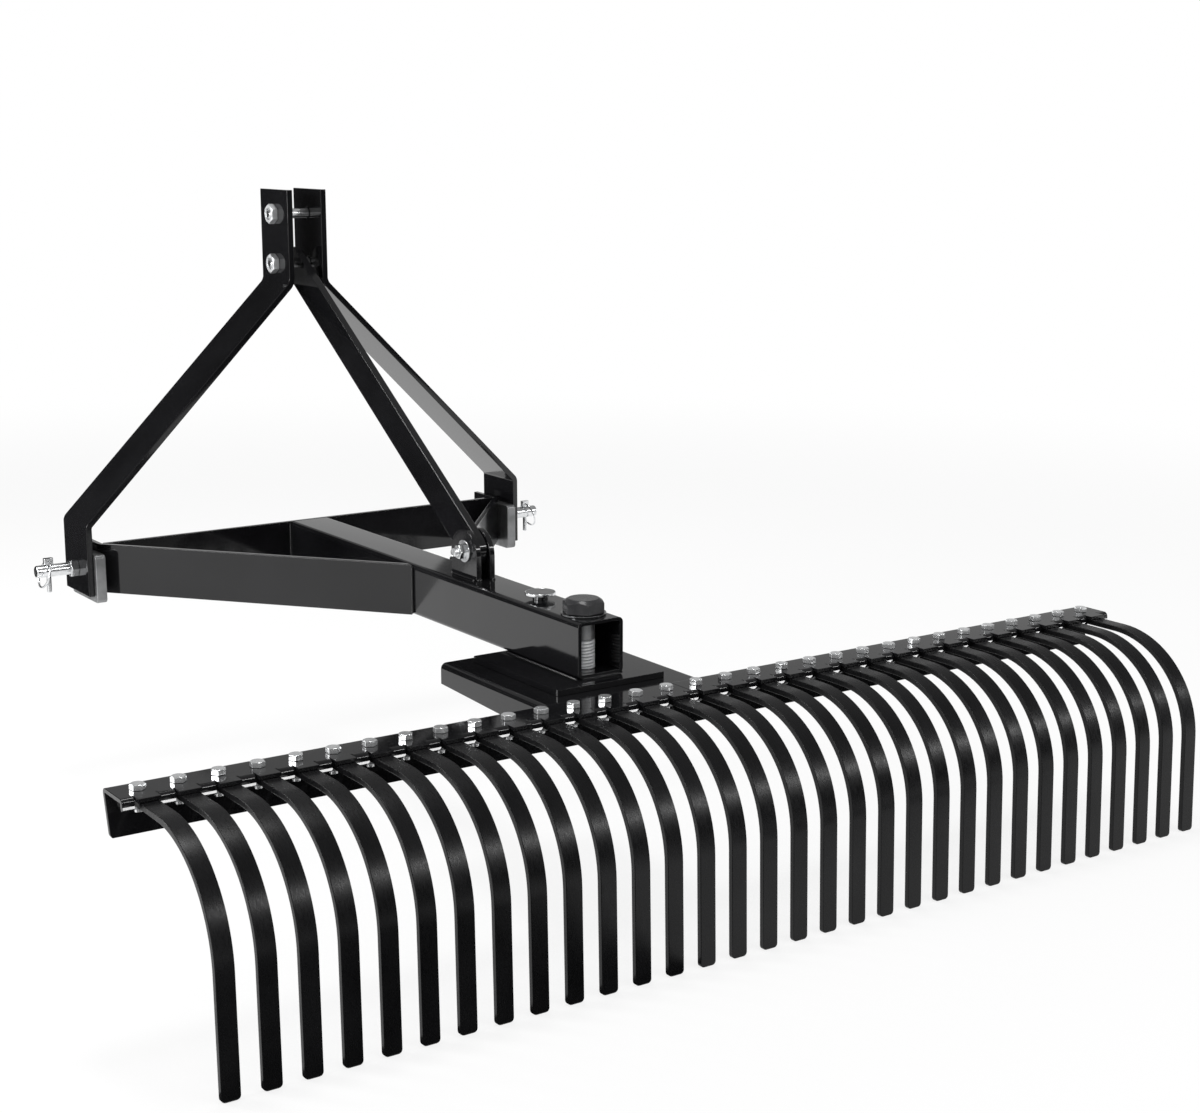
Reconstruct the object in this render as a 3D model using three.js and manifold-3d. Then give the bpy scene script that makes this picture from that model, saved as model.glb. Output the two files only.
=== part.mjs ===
// Three-point landscape rake: a hitch frame, a boom and a swivelling head with a row of spring tines.
// Millimetres. X runs to the right as seen from behind, Y forward to the tractor, Z up.
// The origin is halfway between the two lower hitch pins, on their common axis.
import * as THREE from "three";
import { mergeVertices } from "three/addons/utils/BufferGeometryUtils.js";
import Module from "manifold-3d";

// Clearances: between welded or clamped neighbours, round bolts, round moving pins, and past each cut
const seatGap = 0.3;
const boltGap = 0.4;
const runningGap = 0.6;
const overrun = 4;

// Boom: a square tube from the cross bar back to the pivot
const boomWidth = 70;
const boomHeight = 75;
const boomWall = 5;
const boomInnerCorner = 2;
const boomTail = 40.4;

// Head pivot: a large bolt standing in the boom's open end
const pivotSetback = 818;
const pivotDiameter = 30;
const pivotAcrossFlats = 50;
const pivotTurn = THREE.MathUtils.degToRad(8);
const pivotHeadHeight = 18.7;
const pivotNutHeight = 24;
const pivotThreadEnd = 6;
const pivotWasherDiameter = 60;
const pivotWasherThickness = 2.5;

// Index plate welded under the boom, and the pin that drops through it
const plateWidth = 168;
const plateThickness = 8;
const plateTail = 66.5;
const plateNose = 38.5;
const plateCorner = 4;
const indexRadius = 104;
const indexPinDiameter = 20;
const indexHeadDiameter = 42;
const indexHeadHeight = 4.2;
const indexHeadRise = 6.2;
const indexStep = THREE.MathUtils.degToRad(15);
const indexHolesEachSide = 2;

// Mount box: the folded channel that carries the beams and turns under the index plate
const boxWidth = 244.7;
const boxNose = 58.5;
const boxWall = 5;
const boxInnerBend = 3;
const boxFrontDepth = 29;
const boxRearDepth = 40.5;

// Rake beam: a folded channel in two halves, its rear lip notched for the tines, with a tongue over each
const rakeShift = 74;
const boltLineSetback = 115;
const beamNose = 30;
const beamDepth = 56.5;
const beamWall = 5;
const beamInnerBend = 1;
const beamFlangeHeight = 56;
const beamFlangeLean = 14;
const beamLipHeight = 12;
const beamLipLean = 2;
const beamOverhang = 29.2;
const beamCorner = 6;
const notchGap = 3.3;
const tongueGap = 1.2;
const tongueReach = 7.5;

// Tines: flat spring bars, bolted under the beam and bent down behind it
const tineCount = 32;
const tinePitch = 47.6;
const tineWidth = 22.4;
const tineThickness = 7.5;
const tineNoseGap = 6;
const tineFlatRun = 77.5;
const tineBend = 139;
const tineBendAngle = THREE.MathUtils.degToRad(88.6);
const tineDrop = 278.5;
const tineTipCorner = 5;
const tineBoltDiameter = 10;
const tineBoltAcrossFlats = 16;
const tineBoltHeadHeight = 6.6;
const tineNutHeight = 8.4;
const tineThreadEnd = 4;

// Yoke: a cross bar and two bent arms that carry the boom from the hitch
const yokeThickness = 8;
const armOuterHalf = 356.2;
const armFront = 40;
const armCornerSetback = 26.3;
const armInnerBend = 10;
const armReach = 425;
const crossBarSetback = 19;

// Hitch lugs between the arm ends and the mast legs
const lugThickness = 16;
const lugFront = 48;
const lugRear = 56;
const lugTop = 26;
const lugBottom = 48;
const lugCorner = 6;

// Mast legs: flat bars that rise from the lower pins and close in round the top link
const legThickness = 9.2;
const legWidth = 96;
const legGap = 48.4;
const legFoot = 38;
const legLowerBend = 71.4;
const legUpperBendDrop = 27;
const legHeadroom = 38;
const legBend = 14;
const topLinkHeight = 524;
const mastBoltDrop = 77;
const mastBoltDiameter = 18;
const mastBoltAcrossFlats = 27;
const mastBoltHeadHeight = 11;
const mastNutHeight = 10;

// Rear brace from the mast down to two ears on the boom
const braceThickness = 12;
const braceHalfWidth = 25;
const earThickness = 8;
const earSideGap = 1;
const earAdvance = 279.5;
const earRadius = 35;
const earRoundRise = 33;
const braceBoltLag = 4.5;
const braceBoltRise = 38.5;
const braceBoltDiameter = 12;
const braceBoltAcrossFlats = 19;
const braceBoltHeadHeight = 8;
const braceNutHeight = 10;
const braceThreadEnd = 8;
const braceWasherDiameter = 32;
const braceWasherThickness = 3;

// Lower hitch pins, through arm, lug and leg, with a nut inside
const pinDiameter = 19;
const pinThreadDiameter = 18;
const pinCollarAcrossFlats = 24;
const pinCollarLength = 12;
const pinBarrelLength = 52;
const pinNutAcrossFlats = 27;
const pinNutLength = 16;
const pinThreadEnd = 5;

// Linch pins with spring rings through the lower pins' ends
const linchInset = 20;
const linchDiameter = 7;
const linchFoot = 34;
const hubLength = 15;
const hubWidth = 9;
const hubHeight = 9.4;
const hubCorner = 3;
const ringOuterDiameter = 44;
const ringWire = 3;
const ringLean = THREE.MathUtils.degToRad(18);

// Facet counts
const roundSides = 16;
const smallSides = 8;
const cornerSteps = 3;
const bendSteps = 4;
const tineBendSteps = 10;
const ringSides = 6;
const ringSteps = 20;
const hexagonSides = 6;

// Heights that follow from the sizes above
const boomTop = boomHeight / 2;
const boomSide = boomWidth / 2;
const boomCorner = boomInnerCorner + boomWall;
const plateTop = -boomTop - seatGap;
const plateBottom = plateTop - plateThickness;
const headTop = plateBottom - seatGap;
const headRoof = headTop - beamWall;
const tineTop = headRoof - seatGap;
const tineMiddle = tineTop - tineThickness / 2;

// Widths at the hitch, from the arm's outer face to the leg's outer face
const lugInner = armOuterHalf + seatGap;
const lugOuter = lugInner + lugThickness;
const legInner = lugOuter + seatGap;
const legOuter = legInner + legThickness;
const legTopOuter = legGap / 2 + legThickness;

// Places of the boom's ends and of the yoke, forward of or behind the hitch line
const boomRear = -(pivotSetback + boomTail);
const crossBarFront = -crossBarSetback;
const crossBarRear = crossBarFront - yokeThickness;
const boomFront = crossBarRear - seatGap;

// Heights on the mast, from the top link bolt down
const mastBoltHeight = topLinkHeight - mastBoltDrop;
const legTop = topLinkHeight + legHeadroom;
const legUpperBend = mastBoltHeight - legUpperBendDrop;

const fullTurn = 2 * Math.PI;
const quarterTurn = Math.PI / 2;
const left = -1;
const right = 1;

const wasm = await Module();
wasm.setup();

// A three.js geometry as a closed solid
function solidOf(geometry) {
  const faces = geometry.index ? geometry.toNonIndexed() : geometry.clone();
  faces.deleteAttribute("normal");
  faces.deleteAttribute("uv");
  const merged = mergeVertices(faces);
  const mesh = new wasm.Mesh({
    numProp: 3,
    vertProperties: merged.attributes.position.array,
    triVerts: new Uint32Array(merged.index.array),
  });
  return new wasm.Manifold(mesh);
}

// A solid back as a three.js geometry
function geometryOf(solid) {
  const mesh = solid.getMesh();
  const geometry = new THREE.BufferGeometry();
  geometry.setAttribute("position", new THREE.BufferAttribute(mesh.vertProperties, mesh.numProp));
  geometry.setIndex(new THREE.BufferAttribute(mesh.triVerts, 1));
  const flat = geometry.toNonIndexed();
  flat.computeVertexNormals();
  return flat;
}

// An outline pushed along an axis: along X it lies in (y, z), along Y in (x, z) and along Z in (x, y)
const unitX = new THREE.Vector3(1, 0, 0);
const unitY = new THREE.Vector3(0, 1, 0);
const unitZ = new THREE.Vector3(0, 0, 1);

function extruded(axis, outline, low, high) {
  const shape = new THREE.Shape(outline.map(([across, along]) => new THREE.Vector2(across, along)));
  const geometry = new THREE.ExtrudeGeometry(shape, { depth: high - low, bevelEnabled: false });
  const placed = new THREE.Matrix4();
  if (axis === "x") placed.makeBasis(unitY, unitZ, unitX).setPosition(low, 0, 0);
  if (axis === "y") placed.makeBasis(unitX, unitZ, unitY.clone().negate()).setPosition(0, high, 0);
  if (axis === "z") placed.setPosition(0, 0, low);
  return solidOf(geometry.applyMatrix4(placed));
}

// Points on an arc about a centre
function arc(centreA, centreB, radius, from, to, steps) {
  return Array.from({ length: steps + 1 }, (_, step) => {
    const angle = from + ((to - from) * step) / steps;
    return [centreA + radius * Math.cos(angle), centreB + radius * Math.sin(angle)];
  });
}

function circle(centreA, centreB, radius, sides, turn = 0) {
  return arc(centreA, centreB, radius, turn, turn + fullTurn, sides).slice(1);
}

function roundedRectangle(lowA, highA, lowB, highB, radius) {
  return [
    ...arc(highA - radius, highB - radius, radius, 0, quarterTurn, cornerSteps),
    ...arc(lowA + radius, highB - radius, radius, quarterTurn, 2 * quarterTurn, cornerSteps),
    ...arc(lowA + radius, lowB + radius, radius, 2 * quarterTurn, 3 * quarterTurn, cornerSteps),
    ...arc(highA - radius, lowB + radius, radius, 3 * quarterTurn, fullTurn, cornerSteps),
  ];
}

// The outline of a flat bar with two round ends
function link(start, end, radius) {
  const heading = Math.atan2(end[1] - start[1], end[0] - start[0]);
  const halfSides = roundSides / 2;
  return [
    ...arc(end[0], end[1], radius, heading - quarterTurn, heading + quarterTurn, halfSides),
    ...arc(start[0], start[1], radius, heading + quarterTurn, heading + 3 * quarterTurn, halfSides),
  ];
}

// A line with rounded corners, moved sideways by an offset to the left of its direction
function foldedEdge(corners, radius, offset, steps) {
  const stations = [];
  corners.forEach((corner, index) => {
    const before = corners[Math.max(index - 1, 0)];
    const after = corners[Math.min(index + 1, corners.length - 1)];
    const into = Math.atan2(corner[1] - before[1], corner[0] - before[0]);
    const outOf = Math.atan2(after[1] - corner[1], after[0] - corner[0]);
    if (index === 0 || index === corners.length - 1) {
      stations.push([...corner, index === 0 ? outOf : into]);
      return;
    }
    const turn = Math.atan2(Math.sin(outOf - into), Math.cos(outOf - into));
    const side = Math.sign(turn);
    const tangent = radius * Math.tan(Math.abs(turn) / 2);
    const startA = corner[0] - tangent * Math.cos(into);
    const startB = corner[1] - tangent * Math.sin(into);
    const centreA = startA - side * radius * Math.sin(into);
    const centreB = startB + side * radius * Math.cos(into);
    for (let step = 0; step <= steps; step += 1) {
      const heading = into + (turn * step) / steps;
      const pointA = centreA + side * radius * Math.sin(heading);
      const pointB = centreB - side * radius * Math.cos(heading);
      stations.push([pointA, pointB, heading]);
    }
  });
  return stations.map(([a, b, heading]) => [a - offset * Math.sin(heading), b + offset * Math.cos(heading)]);
}

// The outline of a folded bar, thickened from one offset to the other
function foldedBar(corners, radius, offsetLeft, offsetRight, steps) {
  const leftEdge = foldedEdge(corners, radius, offsetLeft, steps);
  const rightEdge = foldedEdge(corners, radius, offsetRight, steps);
  return [...leftEdge, ...rightEdge.reverse()];
}

const mirrored = (outline) => outline.map(([across, along]) => [-across, along]);

// Round and hexagonal bars along an axis, at a place across it
const rod = (axis, diameter, place, low, high, sides = roundSides) =>
  extruded(axis, circle(place[0], place[1], diameter / 2, sides, Math.PI / sides), low, high);

const hexagon = (axis, acrossFlats, place, low, high, turn = 0) => {
  const radius = acrossFlats / 2 / Math.cos(Math.PI / hexagonSides);
  return extruded(axis, circle(place[0], place[1], radius, hexagonSides, turn), low, high);
};

const joined = (...solids) => solids.reduce((whole, solid) => whole.add(solid));
const without = (solid, ...cutters) => cutters.reduce((rest, cutter) => rest.subtract(cutter), solid);

// Finishes
const gloss = { color: 0x17171a, roughness: 0.22, metalness: 0 };
const satin = { color: 0x1b1c1e, roughness: 0.4, metalness: 0 };
const zinc = { color: 0xc9ccd0, roughness: 0.25, metalness: 1 };
const greySteel = { color: 0x85878a, roughness: 0.45, metalness: 0.6 };
const blackOxide = { color: 0x26272a, roughness: 0.35, metalness: 0.5 };

function piece(name, solid, finish) {
  const mesh = new THREE.Mesh(geometryOf(solid), new THREE.MeshStandardMaterial(finish));
  mesh.name = name;
  return mesh;
}

const rake = new THREE.Group();
const hitchFrame = new THREE.Group();
const rakeHead = new THREE.Group();
rakeHead.position.set(0, -pivotSetback, 0);
rake.add(hitchFrame, rakeHead);

// Boom
const indexY = indexRadius - pivotSetback;
const pivotHole = pivotDiameter + 2 * boltGap;
const indexHole = indexPinDiameter + 2 * runningGap;

function throughHole(diameter, y, low, high) {
  return rod("z", diameter, [0, y], low - overrun, high + overrun);
}

function makeBoom() {
  const boreSide = boomSide - boomWall;
  const boreTop = boomTop - boomWall;
  const outer = roundedRectangle(-boomSide, boomSide, -boomTop, boomTop, boomCorner);
  const bore = roundedRectangle(-boreSide, boreSide, -boreTop, boreTop, boomInnerCorner);
  return without(
    extruded("y", outer, boomRear, boomFront),
    extruded("y", bore, boomRear - overrun, boomFront + overrun),
    throughHole(pivotHole, -pivotSetback, -boomTop, boomTop),
    throughHole(indexHole, indexY, -boomTop, boomTop),
  );
}

hitchFrame.add(piece("boom", makeBoom(), gloss));

// Index plate
function makeIndexPlate() {
  const halfWidth = plateWidth / 2;
  const rear = -pivotSetback - plateTail;
  const front = indexY + plateNose;
  const outline = roundedRectangle(-halfWidth, halfWidth, rear, front, plateCorner);
  return without(
    extruded("z", outline, plateBottom, plateTop),
    throughHole(pivotHole, -pivotSetback, plateBottom, plateTop),
    throughHole(indexHole, indexY, plateBottom, plateTop),
  );
}

hitchFrame.add(piece("index_plate", makeIndexPlate(), gloss));

// Pivot bolt, washer and nut
const washerBottom = boomTop + seatGap;
const washerTop = washerBottom + pivotWasherThickness;
const pivotHeadBottom = washerTop + seatGap;
const pivotNutTop = headTop - boxWall - seatGap;
const pivotNutBottom = pivotNutTop - pivotNutHeight;
const pivotPlace = [0, -pivotSetback];

function makePivotBolt() {
  const headHigh = pivotHeadBottom + pivotHeadHeight;
  const shankLow = pivotNutBottom - pivotThreadEnd;
  const head = hexagon("z", pivotAcrossFlats, pivotPlace, pivotHeadBottom, headHigh, pivotTurn);
  const shank = rod("z", pivotDiameter, pivotPlace, shankLow, headHigh);
  return joined(head, shank);
}

function makePivotWasher() {
  const disc = rod("z", pivotWasherDiameter, pivotPlace, washerBottom, washerTop);
  return without(disc, throughHole(pivotHole, -pivotSetback, washerBottom, washerTop));
}

function makePivotNut() {
  const nut = hexagon("z", pivotAcrossFlats, pivotPlace, pivotNutBottom, pivotNutTop, pivotTurn);
  return without(nut, throughHole(pivotHole, -pivotSetback, pivotNutBottom, pivotNutTop));
}

hitchFrame.add(
  piece("pivot_bolt", makePivotBolt(), blackOxide),
  piece("pivot_washer", makePivotWasher(), greySteel),
  piece("pivot_nut", makePivotNut(), blackOxide),
);

// Index pin, lifted until its tip clears the head
function makeIndexPin() {
  const headBottom = boomTop + indexHeadRise;
  const headHigh = headBottom + indexHeadHeight;
  const head = rod("z", indexHeadDiameter, [0, indexY], headBottom, headHigh, roundSides);
  const shank = rod("z", indexPinDiameter, [0, indexY], plateBottom, headHigh);
  return joined(head, shank);
}

hitchFrame.add(piece("index_pin", makeIndexPin(), zinc));

// Yoke arms: each outer face runs back from the hitch, turns in and meets the boom's side
function armOutline(thickness) {
  const end = [armOuterHalf, armFront];
  const corner = [armOuterHalf, -armCornerSetback];
  const slope = (armReach - armCornerSetback) / (armOuterHalf - boomSide);
  const middle = [0, -armReach - slope * boomSide];
  const bend = armInnerBend + yokeThickness;
  return foldedBar([end, corner, middle], bend, 0, -thickness, bendSteps);
}

const pinHoleDiameter = pinThreadDiameter + 2 * boltGap;

function pinHole(side, low, high) {
  const reach = [side * (low - overrun), side * (high + overrun)].sort((a, b) => a - b);
  return rod("x", pinHoleDiameter, [0, 0], ...reach);
}

function makeArm(side) {
  const outline = side === right ? armOutline(yokeThickness) : mirrored(armOutline(yokeThickness));
  const boomRoom = boomSide + seatGap;
  const beyond = boomRear - boomFront;
  const room = roundedRectangle(-boomRoom, boomRoom, beyond, boomFront, boomCorner);
  return without(
    extruded("z", outline, -boomTop, boomTop),
    extruded("z", room, -boomHeight, boomHeight),
    pinHole(side, armOuterHalf - yokeThickness, armOuterHalf),
  );
}

// Cross bar: it ends against the inner faces of the arms
function makeCrossBar() {
  const half = armOuterHalf - yokeThickness / 2;
  const bar = [
    [-half, crossBarRear],
    [half, crossBarRear],
    [half, crossBarFront],
    [-half, crossBarFront],
  ];
  const fatArm = armOutline(yokeThickness + seatGap);
  return without(
    extruded("z", bar, -boomTop, boomTop),
    extruded("z", fatArm, -boomHeight, boomHeight),
    extruded("z", mirrored(fatArm), -boomHeight, boomHeight),
  );
}

hitchFrame.add(piece("yoke_cross_bar", makeCrossBar(), gloss));

// Hitch lugs
function makeLug(side) {
  const outline = roundedRectangle(-lugRear, lugFront, -lugBottom, lugTop, lugCorner);
  const reach = [side * lugInner, side * lugOuter].sort((a, b) => a - b);
  return without(extruded("x", outline, ...reach), pinHole(side, lugInner, lugOuter));
}

// Mast legs, with holes for the lower pin, the brace bolt and the top link bolt
const mastHole = mastBoltDiameter + 2 * boltGap;

function makeLeg(side) {
  const line = [
    [legTopOuter, legTop],
    [legTopOuter, legUpperBend],
    [legOuter, legLowerBend],
    [legOuter, -legFoot],
  ];
  const outline = foldedBar(line, legBend, 0, -legThickness, bendSteps);
  const half = legWidth / 2;
  const span = legTopOuter + overrun;
  return without(
    extruded("y", side === right ? outline : mirrored(outline), -half, half),
    pinHole(side, legInner, legOuter),
    rod("x", mastHole, [0, topLinkHeight], -span, span),
    rod("x", mastHole, [0, mastBoltHeight], -span, span),
  );
}

// Lower hitch pin with its collar, barrel and inner nut
const pinCollarInner = legOuter + seatGap;
const pinBarrelInner = pinCollarInner + pinCollarLength;
const pinEnd = pinBarrelInner + pinBarrelLength;
const linchPlace = pinEnd - linchInset;

function makeHitchPin(side) {
  const nutOuter = armOuterHalf - yokeThickness - seatGap;
  const nutInner = nutOuter - pinNutLength;
  const reach = (near, far) => [side * near, side * far].sort((a, b) => a - b);
  const thread = rod("x", pinThreadDiameter, [0, 0], ...reach(nutInner - pinThreadEnd, pinBarrelInner));
  const nut = hexagon("x", pinNutAcrossFlats, [0, 0], ...reach(nutInner, nutOuter), quarterTurn);
  const collarReach = reach(pinCollarInner, pinBarrelInner);
  const collar = hexagon("x", pinCollarAcrossFlats, [0, 0], ...collarReach);
  const barrel = rod("x", pinDiameter, [0, 0], ...reach(pinCollarInner, pinEnd));
  const linchHole = linchDiameter + 2 * runningGap;
  const span = pinDiameter / 2 + overrun;
  const crossHole = rod("z", linchHole, [side * linchPlace, 0], -span, span, smallSides);
  return without(joined(thread, nut, collar, barrel), crossHole);
}

// Linch pin: a shaft with a flat-sided hub that the ring swings in
const hubBottom = pinDiameter / 2 + runningGap;
const hubMiddle = hubBottom + hubHeight / 2;
const ringRadius = ringOuterDiameter / 2 - ringWire / 2;

function makeLinchPin() {
  const top = hubBottom + hubHeight;
  const halfWidth = hubWidth / 2;
  const halfLength = hubLength / 2;
  const shaft = rod("z", linchDiameter, [0, 0], -linchFoot, top, smallSides);
  const flats = roundedRectangle(-halfLength, halfLength, -halfWidth, halfWidth, hubCorner);
  const hub = extruded("z", flats, hubBottom, top).intersect(rod("z", hubLength, [0, 0], hubBottom, top));
  const sag = ringRadius - Math.sqrt(ringRadius ** 2 - halfWidth ** 2);
  const eye = ringWire + 2 * (sag + seatGap);
  return without(joined(shaft, hub), rod("y", eye, [0, hubMiddle], -hubLength, hubLength, smallSides));
}

function makeLinchRing(side) {
  const down = new THREE.Vector3(side * Math.sin(ringLean), 0, -Math.cos(ringLean));
  const normal = new THREE.Vector3().crossVectors(unitY, down);
  const centre = down.clone().multiplyScalar(ringRadius);
  const torus = new THREE.TorusGeometry(ringRadius, ringWire / 2, ringSides, ringSteps);
  torus.applyMatrix4(new THREE.Matrix4().makeBasis(unitY, down, normal));
  torus.translate(centre.x, centre.y, centre.z + hubMiddle);
  return solidOf(torus);
}

// Both sides of the hitch
const sides = [
  [left, "left"],
  [right, "right"],
];

for (const [side, word] of sides) {
  const linch = new THREE.Group();
  linch.position.set(side * linchPlace, 0, 0);
  linch.add(
    piece("linch_pin_" + word, makeLinchPin(), zinc),
    piece("linch_ring_" + word, makeLinchRing(side), zinc),
  );
  hitchFrame.add(
    piece("yoke_arm_" + word, makeArm(side), gloss),
    piece("hitch_lug_" + word, makeLug(side), greySteel),
    piece("mast_leg_" + word, makeLeg(side), gloss),
    piece("hitch_pin_" + word, makeHitchPin(side), zinc),
    linch,
  );
}

// Mast bolts: the head is outside the right leg and the nut outside the left one
function makeMastBolt(height) {
  const place = [0, height];
  const seat = legTopOuter + seatGap;
  const shank = rod("x", mastBoltDiameter, place, -seat - mastNutHeight, seat + mastBoltHeadHeight);
  const nut = hexagon("x", mastBoltAcrossFlats, place, -seat - mastNutHeight, -seat, quarterTurn);
  const head = hexagon("x", mastBoltAcrossFlats, place, seat, seat + mastBoltHeadHeight, quarterTurn);
  return joined(shank, nut, head);
}

hitchFrame.add(
  piece("top_link_bolt", makeMastBolt(topLinkHeight), zinc),
  piece("mast_bolt", makeMastBolt(mastBoltHeight), zinc),
);

// Rear brace and its ears
const mastBoltPlace = [0, mastBoltHeight];
const earMiddle = earAdvance - pivotSetback;
const braceBoltPlace = [earMiddle - braceBoltLag, boomTop + braceBoltRise];
const braceBoltHole = braceBoltDiameter + 2 * boltGap;
const earInner = braceThickness / 2 + earSideGap;
const earOuter = earInner + earThickness;

function makeBrace() {
  const half = braceThickness / 2;
  const span = half + overrun;
  return without(
    extruded("x", link(braceBoltPlace, mastBoltPlace, braceHalfWidth), -half, half),
    rod("x", mastHole, mastBoltPlace, -span, span),
    rod("x", braceBoltHole, braceBoltPlace, -span, span),
  );
}

function makeEar(side) {
  const foot = boomTop + seatGap;
  const halfSides = roundSides / 2;
  const outline = [
    [earMiddle - earRadius, foot],
    [earMiddle + earRadius, foot],
    ...arc(earMiddle, boomTop + earRoundRise, earRadius, 0, 2 * quarterTurn, halfSides),
  ];
  const reach = [side * earInner, side * earOuter].sort((a, b) => a - b);
  const span = earOuter + overrun;
  return without(extruded("x", outline, ...reach), rod("x", braceBoltHole, braceBoltPlace, -span, span));
}

function makeBraceBolt() {
  const seat = earOuter + seatGap;
  const washerOuter = seat + braceWasherThickness;
  const nutOuter = washerOuter + braceNutHeight;
  const headOuter = washerOuter + braceBoltHeadHeight;
  return joined(
    rod("x", braceBoltDiameter, braceBoltPlace, -nutOuter - braceThreadEnd, headOuter),
    rod("x", braceWasherDiameter, braceBoltPlace, -washerOuter, -seat),
    rod("x", braceWasherDiameter, braceBoltPlace, seat, washerOuter),
    hexagon("x", braceBoltAcrossFlats, braceBoltPlace, -nutOuter, -seat),
    hexagon("x", braceBoltAcrossFlats, braceBoltPlace, seat, headOuter),
  );
}

hitchFrame.add(
  piece("rear_brace", makeBrace(), gloss),
  piece("brace_ear_left", makeEar(left), gloss),
  piece("brace_ear_right", makeEar(right), gloss),
  piece("brace_bolt", makeBraceBolt(), zinc),
);

// The head, in its own frame with the pivot at its origin. Seen from the left, the beam's fold runs
// from the rear lip over the top to the leaning front flange.
const beamFront = beamNose - boltLineSetback;
const beamRear = beamFront - beamDepth;
const beamBend = beamInnerBend + beamWall;
const lipBottom = headTop - beamLipHeight;
const flangeBottom = headTop - beamFlangeHeight;
const beamLine = [
  [beamRear - beamLipLean, lipBottom],
  [beamRear, headTop],
  [beamFront, headTop],
  [beamFront - beamFlangeLean, flangeBottom],
];

// Mount box: its rear end is cut to fit the beam's front
function makeMountBox() {
  const rear = beamFront - beamFlangeLean;
  const front = indexRadius + boxNose;
  const half = boxWidth / 2;
  const rearEdge = headTop - boxRearDepth;
  const frontEdge = headTop - boxFrontDepth;
  const skirt = rearEdge - overrun;
  const fold = [
    [-half, skirt],
    [-half, headTop],
    [half, headTop],
    [half, skirt],
  ];
  const below = [
    [rear - overrun, skirt - overrun],
    [front + overrun, skirt - overrun],
    [front + overrun, frontEdge],
    [front, frontEdge],
    [rear, rearEdge],
    [rear - overrun, rearEdge],
  ];
  const indexHoles = [];
  for (let step = -indexHolesEachSide; step <= indexHolesEachSide; step += 1) {
    const angle = step * indexStep;
    const place = [indexRadius * Math.sin(angle), indexRadius * Math.cos(angle)];
    indexHoles.push(rod("z", indexHole, place, rearEdge, headTop + overrun));
  }
  return without(
    extruded("y", foldedBar(fold, boxInnerBend + boxWall, 0, -boxWall, bendSteps), rear, front),
    extruded("x", below, -boxWidth, boxWidth),
    extruded("x", foldedEdge(beamLine, beamBend, seatGap, bendSteps), -boxWidth, boxWidth),
    rod("z", pivotHole, [0, 0], rearEdge, headTop + overrun),
    ...indexHoles,
  );
}

rakeHead.add(piece("mount_box", makeMountBox(), gloss));

// Rake beam
const tineX = (index) => rakeShift + (index - (tineCount - 1) / 2) * tinePitch;
const tineBoltHole = tineBoltDiameter + 2 * boltGap;
const notchWidth = tineWidth + 2 * notchGap;
const tongueWidth = notchWidth - 2 * tongueGap;
const notchFront = beamRear + beamBend + beamLipLean;

// One half of the beam seen from behind, with the flange's outer lower corner rounded
function beamHalfOutline(outerX, seamX) {
  const side = Math.sign(outerX - seamX);
  const cornerX = outerX - side * beamCorner;
  const low = flangeBottom - overrun;
  const rounding = arc(0, low + beamCorner, beamCorner, 0, -quarterTurn, cornerSteps);
  return [
    [seamX, headTop + overrun],
    [outerX, headTop + overrun],
    ...rounding.map(([across, along]) => [cornerX + side * across, along + overrun]),
    [seamX, low],
  ];
}

// A rectangle seen from behind
function upright(middle, width, low, high) {
  const half = width / 2;
  return [
    [middle - half, low],
    [middle + half, low],
    [middle + half, high],
    [middle - half, high],
  ];
}

function makeBeam(side) {
  const lastTine = side === right ? tineCount - 1 : 0;
  const outerX = tineX(lastTine) + side * beamOverhang;
  const seamX = rakeShift + (side * seatGap) / 2;
  const ends = [outerX + side * overrun, seamX - side * overrun].sort((a, b) => a - b);
  const fold = foldedBar(beamLine, beamBend, 0, -beamWall, bendSteps);
  const half = extruded("x", fold, ...ends).intersect(
    extruded("y", beamHalfOutline(outerX, seamX), beamRear - overrun, beamFront + overrun),
  );
  const cutters = [];
  const tongues = [];
  for (let index = 0; index < tineCount; index += 1) {
    const x = tineX(index);
    if (side * (x - rakeShift) < 0) continue;
    const notch = upright(x, notchWidth, lipBottom - overrun, headTop + overrun);
    cutters.push(extruded("y", notch, beamRear - overrun, notchFront));
    const tongue = upright(x, tongueWidth, headRoof, headTop);
    tongues.push(extruded("y", tongue, beamRear - tongueReach, notchFront + overrun));
    const boltPlace = [x, -boltLineSetback];
    cutters.push(rod("z", tineBoltHole, boltPlace, headRoof - overrun, headTop + overrun, smallSides));
  }
  return joined(without(half, ...cutters), ...tongues);
}

rakeHead.add(piece("rake_beam_left", makeBeam(left), gloss), piece("rake_beam_right", makeBeam(right), gloss));

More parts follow.
